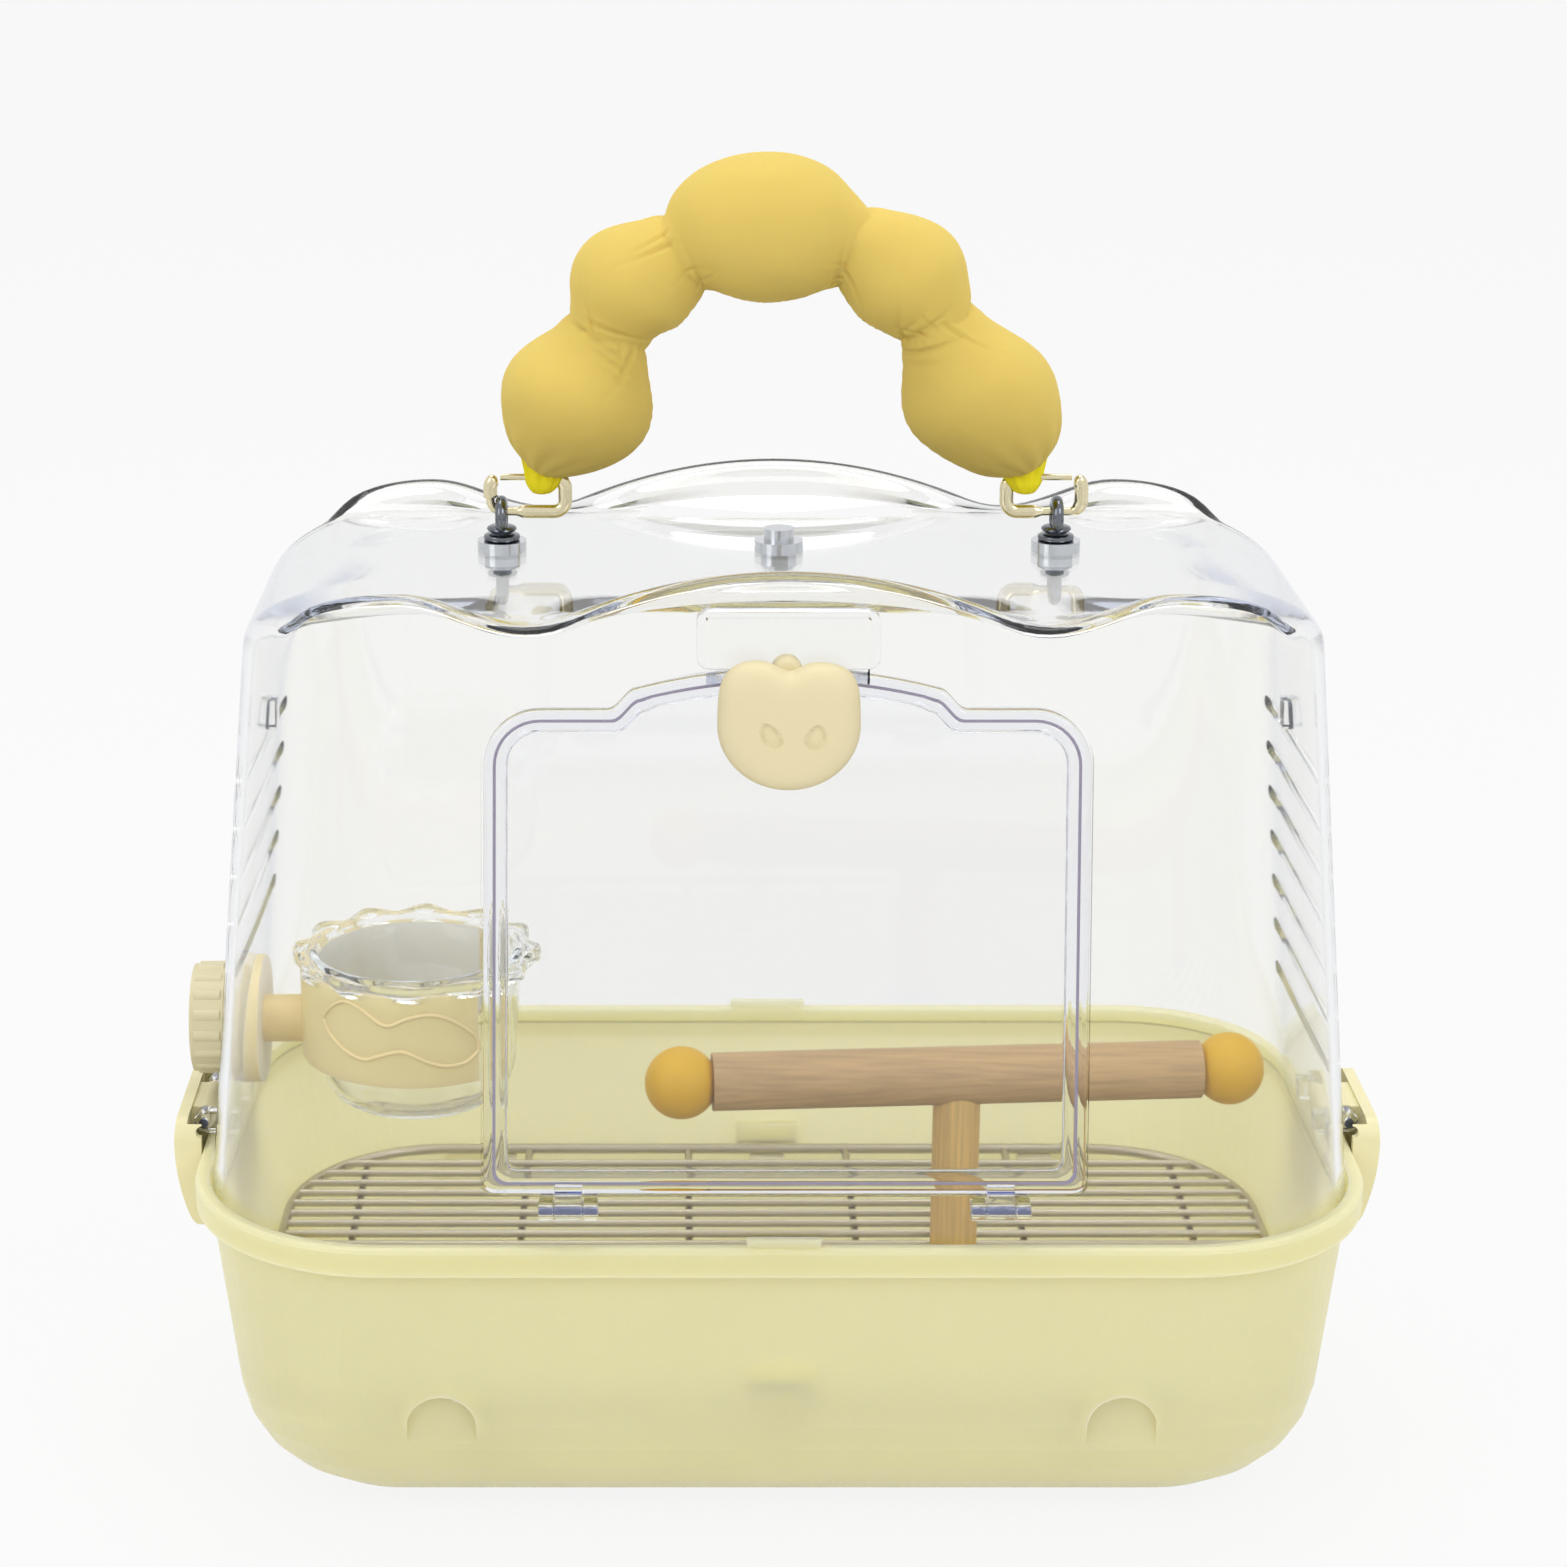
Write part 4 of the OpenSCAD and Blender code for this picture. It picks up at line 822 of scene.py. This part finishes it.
# Levels of the tongue's stem out from the knob's back: place and how much narrower
STEM_LEVELS = [(-4.7, 0.9), (-4.4, 0.3), (-3.8, 0), (-0.2, 0), (1.6, 0.1), (2.6, 0.7), (3.0, 1.6)]
STEM_W, STEM_TALL, STEM_MID = 7.4, 18.5, (-0.4, 7.3)


def knob_reach(a):
    """Outline of the knob: round below, squarer above, notched on top with a low ear beside the notch."""
    c, s = cos(a), sin(a)
    n = 2.0 + 1.9 * smoothstep((s + 0.15) / 0.7)
    r = (abs(c / KNOB_HALF_W) ** n + abs(s / KNOB_HALF_H) ** n) ** (-1 / n)
    r += EAR_OUT * exp(-((degrees(a) - EAR_AT) / EAR_SPREAD) ** 2)
    return r - NOTCH_DEEP * exp(-((degrees(a) - 90) / NOTCH_SPREAD) ** 2)


def knob_dimple(x, y):
    """Depth of the two finger dimples, each a little raised in its middle."""
    deep = 0.0
    for cx, cy, lean in DIMPLES:
        u, v = x - cx + lean * (y - cy), y - cy
        q = (u / (2.35 - 0.26 * v)) ** 2 + (v / 3.0) ** 2
        deep += 1.0 * smoothstep((1.12 - q) / 0.4) - 0.25 * smoothstep((0.6 - q) / 0.6)
    return deep


def make_knob():
    to = on_front(KNOB_Z)
    half_rings = 40
    rings = []
    for k in range(2 * half_rings + 1):
        t = -1 + k / half_rings  # from the back's centre to the front's
        f = sin(pi / 2 * (1 - abs(t)))
        bulge = (1 - f ** 4) ** 0.425
        ring = []
        for a in turns(180):
            r = knob_reach(a) * max(f, 0.02)
            x, y = r * cos(a), r * sin(a)
            if t > 0:
                z = bulge * (KNOB_THICK - KNOB_BULGE) - knob_dimple(x, y) * (bulge > 0.3)
            else:
                z = -bulge * KNOB_BULGE
            ring.append(to(x, y, KNOB_BACK + KNOB_BULGE + z))
        rings.append(ring)
    body = solid("latch_knob_soft", *stack(rings), FINISH["knob"], 80)
    stem = []
    for z, off in STEM_LEVELS:
        outline = rounded_line(STEM_W - 2 * off, STEM_TALL - 2 * off, STEM_W / 2 - 0.05 - off, 8, *STEM_MID)
        stem.append([to(x, y, KNOB_BACK + z) for x, y in outline])
    carve(body, solid("stem", *stack(stem)), "UNION", 60)
    carve(body, solid("hole", *bore(3, to, 0.5, KNOB_BACK + 4, 6)), sharp=60)
    place(body, "door_latch", "knob_plastic", "latch_knob")


# ---- feeder cup and the wave on its band
CUP_X, CUP_TOP, CUP_TALL = -98, 138, 43
SCALLOPS, SCALLOP_OUT, SCALLOP_UP = 12, 1.4, 0.5
# Section of the cup: radius and height inside, then radius, drop from the top and share of scallop round the
# rim, then radius and height outside
CUP_INSIDE = [(0.0, 2.2), (14, 2.2), (19, 2.4), (21.6, 3.6), (23.6, 6.6), (24.8, 10), (25.2, 16)]
CUP_RIM = [(26.5, 6, 0), (26.6, 1.2, 0), (26.9, 0.4, 0), (27.5, 0, 0), (29.0, 0.1, 0.2), (31.2, 0.5, 0.9),
           (33.0, 0.2, 1), (33.5, 0.8, 1), (33.6, 2.4, 1), (33.3, 4.2, 1), (32.7, 4.6, 1), (32.2, 4.0, 1),
           (31.0, 3.2, 0.6), (29.4, 3.3, 0.1), (28.5, 4.2, 0), (28.3, 12, 0)]
CUP_OUTSIDE = [(27.2, 16), (26.8, 10), (25.6, 6.0), (23.4, 2.6), (21.0, 0.9), (19.4, 0.2), (14, 0.0),
               (0.0, 0.0)]
BAND_WAVE_R, BAND_WAVE_BEAD = 31.95, 0.55
BAND_WAVE_TOP = [(-121.5, 125.5), (-119.5, 129), (-115.5, 132), (-111, 131), (-104.2, 126.8), (-98, 129),
                 (-91.6, 129.8), (-85.5, 127), (-80.5, 122), (-79.5, 118)]
BAND_WAVE_LOW = [(-79.5, 118), (-83, 115.4), (-88, 115), (-93, 116.6), (-99.5, 119.6), (-105, 118.4),
                 (-110, 116.6), (-115, 118), (-119.6, 121.6), (-121.5, 125.5)]


def make_cup():
    section = [(radius, z, 0) for radius, z in CUP_INSIDE]
    section += [(radius, CUP_TALL - drop, share) for radius, drop, share in CUP_RIM]
    section += [(radius, z, 0) for radius, z in CUP_OUTSIDE]
    rings = []
    for radius, z, share in section:
        ring = []
        for a in turns(144):
            q = max(radius, 0.05) + share * SCALLOP_OUT * (cos(SCALLOPS * a) - 0.6)
            lift = share * SCALLOP_UP * cos(SCALLOPS * a + 0.6)
            ring.append((CUP_X + q * cos(a), q * sin(a), CUP_TOP - CUP_TALL + z + lift))
        rings.append(ring)
    place(solid("cup_clear", *stack(rings), FINISH["cup"], 50), "cup", "clear_cup", "feeder_cup")


def bead(points, radius):
    """Round bead along points, with rounded ends."""
    pts = [Vector(p) for p in points]
    last = len(pts) - 1
    rings = []
    for i, p in enumerate(pts):
        run = (pts[min(i + 1, last)] - pts[max(i - 1, 0)]).normalized()
        side = run.cross(Vector((0, 0, 1)))
        side = side.normalized() if side.length > 1e-3 else Vector((1, 0, 0))
        other = run.cross(side)
        r = radius * (0.35 if i in (0, last) else 1)
        rings.append([tuple(p + side * (r * cos(a)) + other * (r * sin(a))) for a in turns(10)])
    return stack(rings)


def make_band_wave():
    """Raised wavy outline on the front of the feeder band."""
    pts = []
    for piece in (BAND_WAVE_TOP, BAND_WAVE_LOW):
        for _, x, z in spline(piece, 6)[:-1]:
            pts.append((x, -sqrt(max(0.0, BAND_WAVE_R ** 2 - (x - CUP_X) ** 2)), z))
    pts.append(pts[0])
    wave = solid("holder_wave", *bead(pts, BAND_WAVE_BEAD), FINISH["wave"], 60)
    place(wave, "cover", "holder_plastic")


# ---- studs and snap rings
# Turned section of a stud from its foot under the roof: radius and height
STUD_LINE = [(0.0, 236.6), (2.1, 236.6), (2.5, 237.0), (2.5, 247.9), (4.3, 248.0), (4.75, 248.3),
             (4.85, 248.8), (4.7, 249.3), (4.2, 249.6), (3.2, 249.75), (2.95, 250.1), (3.2, 250.45),
             (3.75, 250.6), (4.0, 251.0), (3.8, 251.45), (3.2, 251.8), (1.8, 252.0), (0.0, 252.0)]
EYE_Z, EYE_R, EYE_WIRE = 254.5, 3.92, 1.42
EYE_SIDE = 1.55  # half thickness of the eye along X
RING_HALF, RING_LOW, RING_TOP, RING_BEND = 9.9, 255.6, 264.9, 3.0
GATE_HALF = 4.5
WIRE_R, STOUT_FLAT, STOUT_DEEP = 1.1, 0.75, 0.35  # wire in the eye, and what the rest has over it
RING_STEP = 0.5


def make_stud(side, x):
    """Turned base with two collars and a shank, and a round eye on top."""
    turned = [[(x + max(r, 0.02) * cos(a), BACK + max(r, 0.02) * sin(a), z) for a in turns(48)]
              for r, z in STUD_LINE]
    stud = solid("stud_" + side, *stack(turned), FINISH["stud"], 40)
    big, small = 56, 20
    verts, faces = [], []
    for i, a in enumerate(turns(big)):
        for j, b in enumerate(turns(small)):
            r = EYE_R + EYE_WIRE * cos(b)
            verts.append((x + EYE_SIDE * sin(b), BACK + r * cos(a), EYE_Z + r * sin(a)))
            i2, j2 = (i + 1) % big, (j + 1) % small
            faces.append((i * small + j, i2 * small + j, i2 * small + j2, i * small + j2))
    carve(stud, solid("eye", verts, faces), "UNION", 40)
    place(stud, "cover", "stud_chrome", "handle_stud_" + side)


def ring_path(middle, gate):
    """Run of the snap ring's wire round from one side of the gate to the other, as X and height."""
    outline = rounded_line(2 * RING_HALF, RING_TOP - RING_LOW, RING_BEND, 8,
                           middle, (RING_TOP + RING_LOW) / 2)
    fine = []
    for (ax, az), (bx, bz) in zip(outline, outline[1:] + outline[:1]):
        steps = max(1, round(hypot(bx - ax, bz - az) / RING_STEP))
        fine += [(ax + (bx - ax) * k / steps, az + (bz - az) * k / steps) for k in range(steps)]
    is_open = [abs(x - gate) < GATE_HALF and z > RING_TOP - 0.5 for x, z in fine]
    start = next(i for i in range(len(fine)) if is_open[i - 1] and not is_open[i])
    order = [(start + i) % len(fine) for i in range(len(fine))]
    return [fine[i] for i in order if not is_open[i]]


def make_ring(side, middle, eye, gate):
    """Pressed loop, stout but for the run through the eye, open where its gate sits."""
    path = ring_path(middle, gate)
    last = len(path) - 1
    rings = []
    for i, (x, z) in enumerate(path):
        (ax, az), (bx, bz) = path[max(i - 1, 0)], path[min(i + 1, last)]
        run = hypot(bx - ax, bz - az)
        ux, uz = (bx - ax) / run, (bz - az) / run
        stout = smoothstep((abs(x - eye) - 3.6) / 2.5) if z < EYE_Z + 5 else 1.0
        from_end = min(i, last - i) * RING_STEP
        rounding = sqrt(max(0.06, 1 - max(0.0, 1 - from_end / 1.2) ** 2))
        flat, deep = (WIRE_R + STOUT_FLAT * stout) * rounding, (WIRE_R + STOUT_DEEP * stout) * rounding
        rings.append([(x + uz * flat * cos(a), BACK + deep * sin(a), z - ux * flat * cos(a))
                      for a in turns(20)])
    ring = solid("ring_" + side, *stack(rings), FINISH["snap"], 60)
    place(ring, "handle", "snap_metal", "snap_ring_" + side)


# ---- stuffed handle
# Stations along the handle from the left end: X, height above the roof, half width, slope of the section
STATIONS = [
    (-63.6, 21.8, 4.0, 60), (-63.2, 25.5, 9.9, 60), (-61.0, 28.0, 13.4, 62), (-57.0, 31.6, 17.7, 68),
    (-54.0, 36.6, 20.1, 73), (-53.0, 42.3, 20.5, 73), (-50.3, 47.4, 18.6, 67), (-47.3, 52.2, 14.2, 64),
    (-45.0, 59.0, 10.4, 65), (-43.8, 63.1, 12.4, 63), (-42.7, 65.8, 14.5, 60), (-39.9, 70.8, 16.6, 48),
    (-34.9, 73.5, 15.5, 37), (-29.9, 75.6, 13.4, 31), (-25.4, 78.9, 11.2, 30), (-23.3, 80.5, 12.5, 29),
    (-20.8, 81.6, 15.1, 26), (-17.0, 83.6, 17.4, 20), (-10.6, 85.4, 19.2, 10), (-2.3, 86.1, 19.6, -1),
    (5.8, 84.9, 18.6, -12), (10.9, 82.8, 16.0, -18), (14.0, 81.8, 13.3, -20), (18.0, 81.0, 10.9, -21),
    (21.3, 79.1, 12.4, -24), (26.1, 76.5, 14.7, -31), (31.2, 74.1, 16.1, -40), (35.3, 70.1, 15.6, -50),
    (37.7, 64.8, 12.5, -58), (40.3, 61.3, 10.5, -62), (42.8, 57.2, 11.8, -63), (44.9, 52.4, 15.0, -60),
    (47.1, 47.1, 18.5, -57), (50.9, 42.8, 19.7, -56), (54.9, 38.5, 19.2, -56), (59.4, 33.2, 17.0, -55),
    (63.0, 28.2, 13.4, -56), (65.2, 25.4, 9.6, -58), (66.0, 22.2, 4.4, -60),
]
NECKS = [8, 14, 23, 29]  # the stations at the four gathers
HANDLE_AROUND = 168
UV_PER_M, MEAN_RADIUS = 10, 0.018  # UV lengths per metre, and a lobe's usual radius in metres
GATHERS_PER_NECK = 9
# Longer gathers that show from the front: neck, angle, side of the neck, width, length, depth and skew
FRONT_GATHERS = [
    (0, 4.0, -1, 1.2, 10, 0.7, -0.03), (0, 5.1, 1, 1.0, 7, 0.6, 0.04), (1, 5.2, -1, 1.0, 10, 0.8, 0.0),
    (1, 5.5, -1, 0.9, 8, 0.7, 0.02), (1, 3.9, 1, 0.9, 6, 0.6, 0.05), (2, 3.5, -1, 0.9, 10, 1.2, 0.05),
    (2, 3.75, -1, 0.8, 9, 1.1, 0.06), (2, 4.0, -1, 0.8, 7, 1.0, 0.07), (2, 4.2, 1, 1.0, 9, 0.8, -0.04),
    (2, 3.7, 1, 0.9, 8, 0.7, -0.05), (3, 3.7, -1, 1.0, 9, 0.9, -0.05), (3, 4.3, -1, 0.9, 8, 0.8, 0.06),
    (3, 4.9, 1, 1.1, 10, 0.8, 0.04),
]
# Creases that run round the handle: neck, place along, angle, spread, tilt, width and depth
CREASES = [
    (0, -1.8, 4.8, 0.9, 1.6, 0.75, 0.75), (0, -4.6, 4.5, 0.6, 2.6, 0.8, 0.6),
    (0, 2.6, 4.6, 0.8, -1.2, 0.8, 0.65), (0, -8.0, 4.3, 0.4, 3.2, 0.9, 0.35),
    (1, 1.9, 4.2, 0.6, 0.8, 0.7, 0.4), (2, -2.2, 4.3, 0.6, -1.0, 0.7, 0.5),
    (3, 3.6, 4.1, 0.8, 1.3, 0.8, 0.85), (3, 6.6, 4.0, 0.45, 2.0, 0.9, 0.45),
    (3, -2.0, 4.6, 0.5, -1.4, 0.75, 0.6), (3, -4.6, 4.2, 0.4, -2.4, 0.8, 0.4),
    (0, -2.4, 1.6, 0.8, -1.5, 0.8, 0.6), (3, 3.0, 1.7, 0.8, -1.2, 0.8, 0.6),
    (1, 2.0, 1.5, 0.6, -0.9, 0.8, 0.5), (2, -2.4, 1.5, 0.6, 1.1, 0.8, 0.5),
]


def make_gathers():
    """Short gathers drawn at random round each neck, and the front ones."""
    draw = random.Random(11)
    gathers = []
    for neck in range(len(NECKS)):
        for _ in range(GATHERS_PER_NECK):
            gathers.append((neck, draw.uniform(0, 2 * pi), draw.choice((-1, 1)), draw.uniform(0.7, 1.2),
                            draw.uniform(2.5, 7), draw.uniform(0.22, 0.5), draw.uniform(-0.05, 0.05)))
    return gathers + FRONT_GATHERS


def handle_rows():
    """Rows of station number, X, height, half width and slope, smoothed but for the two ends."""
    table = np.array(spline(STATIONS, 8))
    count = np.arange(len(table))
    hold = np.clip(np.minimum(count, count[::-1]) / 10, 0, 1)
    for c in range(1, table.shape[1]):
        table[:, c] += (blur(table[:, c], 4.5, 12) - table[:, c]) * hold
    return table.tolist()


def gather_push(t, s, half, near, neck_at):
    """Push of the near gathers, at the angle t round the handle, 0 outside, and the way s along it."""
    push = 0.0
    for neck, at, side, width, length, depth, skew in near:
        d = s - neck_at[neck]
        turn = (t - at - skew * d + pi) % (2 * pi) - pi
        q = turn * half / width
        if abs(q) < 3:
            fold = (1 - 1.1 * q * q) * exp(-q * q - (d / length) ** 2)
            push -= depth * fold * smoothstep((side * d + 1.5) / 2.5)
    return push


def crease_push(t, s, neck_at):
    push = 0.0
    for neck, along, at, spread, tilt, width, depth in CREASES:
        turn = t - at
        d = s - neck_at[neck] - along - tilt * turn
        if abs(d) < 4 * width:
            fold = (1 - 0.9 * (d / width) ** 2) * exp(-(d / width) ** 2 - (turn / spread) ** 2)
            push -= 1.5 * depth * fold
    return push


def tight_push(t, s, neck_at, ends):
    """Drawn-in line at each neck with a puckered edge, and pleats at both ends."""
    push = 0.0
    for n, at in enumerate(neck_at):
        d = abs(s - at - 0.9 * sin(2 * t + n) - 0.5 * sin(5 * t + 2 * n))
        if d < 9:
            push -= (0.9 + 0.3 * sin(3 * t + n)) * exp(-d / 1.1)
            push += 0.25 * exp(-((d - 3.2) / 1.8) ** 2) * (0.5 + 0.5 * sin(4 * t + n))
    for at in ends:
        d = abs(s - at)
        if d < 18:
            push += 0.4 * exp(-(d / 9) ** 2) * sin(13 * t + 0.8 * sin(3 * t))
    return push


def seam_push(t, s, half):
    """Stitched seam along the inside of the handle."""
    d = abs(t - pi) * half
    if d >= 7:
        return 0.0
    pucker = 0.1 * exp(-(d / 3.2) ** 2) * sin(2 * pi * s / 3.3)
    return pucker - 0.45 * exp(-(d / 0.7) ** 2)


def handle_surface():
    """Points of the cushion in metres, and their places in the cloth."""
    rows = handle_rows()
    along = [0.0]
    for a, b in zip(rows, rows[1:]):
        along.append(along[-1] + hypot(b[1] - a[1], b[2] - a[2]))
    neck_at = [next(s for row, s in zip(rows, along) if row[0] >= neck) for neck in NECKS]
    gathers = make_gathers()
    verts, uvs = [], []
    for (_, x, z, half, slope), s in zip(rows, along):
        a = radians(slope)
        out = Vector((-sin(a), 0, cos(a)))
        centre = Vector((x, BACK, ROOF + z))
        near = [g for g in gathers if abs(s - neck_at[g[0]]) < 2.2 * g[4]]
        for t in turns(HANDLE_AROUND):
            push = gather_push(t, s, half, near, neck_at) + crease_push(t, s, neck_at)
            push += tight_push(t, s, neck_at, (along[0], along[-1])) + seam_push(t, s, half)
            swell = 0.4 * noise.noise(Vector((1.4 * cos(t), 1.4 * sin(t), s / 16)))
            swell += 0.1 * noise.noise(Vector((4 * cos(t), 4 * sin(t), s / 5)))
            r = half + push * min(1, half / 9) + swell * min(1, half / 12)
            round_it = out * (r * cos(t)) + Vector((0, 0.97 * r * sin(t), 0))
            verts.append((centre + round_it) / MM_PER_M)
            uvs.append((s / MM_PER_M * UV_PER_M, t * MEAN_RADIUS * UV_PER_M))
    return verts, uvs


def lay_cloth(mesh, uvs):
    """UVs of the cloth; faces that close the turn take the far side of it."""
    layer = mesh.uv_layers.new(name="cloth")
    full_turn = 2 * pi * MEAN_RADIUS * UV_PER_M
    for poly in mesh.polygons:
        columns = {v % HANDLE_AROUND for v in poly.vertices}
        closes = 0 in columns and HANDLE_AROUND - 1 in columns
        for loop in poly.loop_indices:
            v = mesh.loops[loop].vertex_index
            u, w = uvs[v]
            if closes and v % HANDLE_AROUND == 0:
                w += full_turn
            layer.data[loop].uv = (u, w)
        poly.use_smooth = len(poly.vertices) == 4


def make_handle():
    verts, uvs = handle_surface()
    n = HANDLE_AROUND
    rings = [verts[i:i + n] for i in range(0, len(verts), n)]
    mesh = bpy.data.meshes.new("handle_cushion")
    mesh.from_pydata(verts, [], stack(rings)[1])
    lay_cloth(mesh, uvs)
    face_outward(mesh)
    mesh.materials.append(FINISH["cloth"])
    o = add_object("handle_cushion", mesh)
    place(o, "handle", "handle_fabric", "handle_puff_low_left", "handle_puff_mid_left", "handle_puff_top",
          "handle_puff_mid_right", "handle_puff_low_right")


# Levels of a tie from its foot up: height, and half width along X and along Y
TIE_LEVELS = [(260.4, 1.2, 1.0), (260.8, 2.5, 2.0), (261.8, 3.6, 2.8), (263.2, 4.6, 3.2), (264.8, 5.2, 3.1),
              (266.4, 5.6, 3.1), (267.8, 6.1, 3.5), (269.4, 6.7, 4.4), (271.2, 7.3, 5.4), (273.0, 7.4, 6.3),
              (274.5, 6.0, 5.4)]


def make_tie(side, x_foot, x_top):
    """Gathered fabric end, looped round the top run of the snap ring and drawn up into the lobe."""
    foot, top = TIE_LEVELS[0][0], TIE_LEVELS[-1][0]
    rings = []
    for _, z, half_x, half_y in spline(TIE_LEVELS, 4):
        t = (z - foot) / (top - foot)
        x = x_foot + (x_top - x_foot) * t
        ring = []
        for a in turns(72):
            fold = 0.28 * smoothstep(t * 2.5) * (sin(9 * a + 2.2 * t) + 0.5 * sin(16 * a + 1.0))
            ring.append((x + (half_x + fold) * cos(a), BACK + (half_y + fold) * sin(a), z))
        rings.append(ring)
    tie = solid("tie_" + side, *stack(rings), FINISH["tie"], 80)
    place(tie, "handle", "tie_fabric", "handle_tie_" + side)


make_cover()
make_door()
make_rib_painted_reflection()
make_knob()
make_cup()
make_band_wave()
make_stud("left", -STUD_X)
make_stud("right", STUD_X)
make_ring("left", middle=-66.5, eye=-STUD_X, gate=-69.5)
make_ring("right", middle=70.0, eye=STUD_X, gate=73.0)
make_handle()
make_tie("left", x_foot=-62.8, x_top=-60.5)
make_tie("right", x_foot=65.0, x_top=62.5)
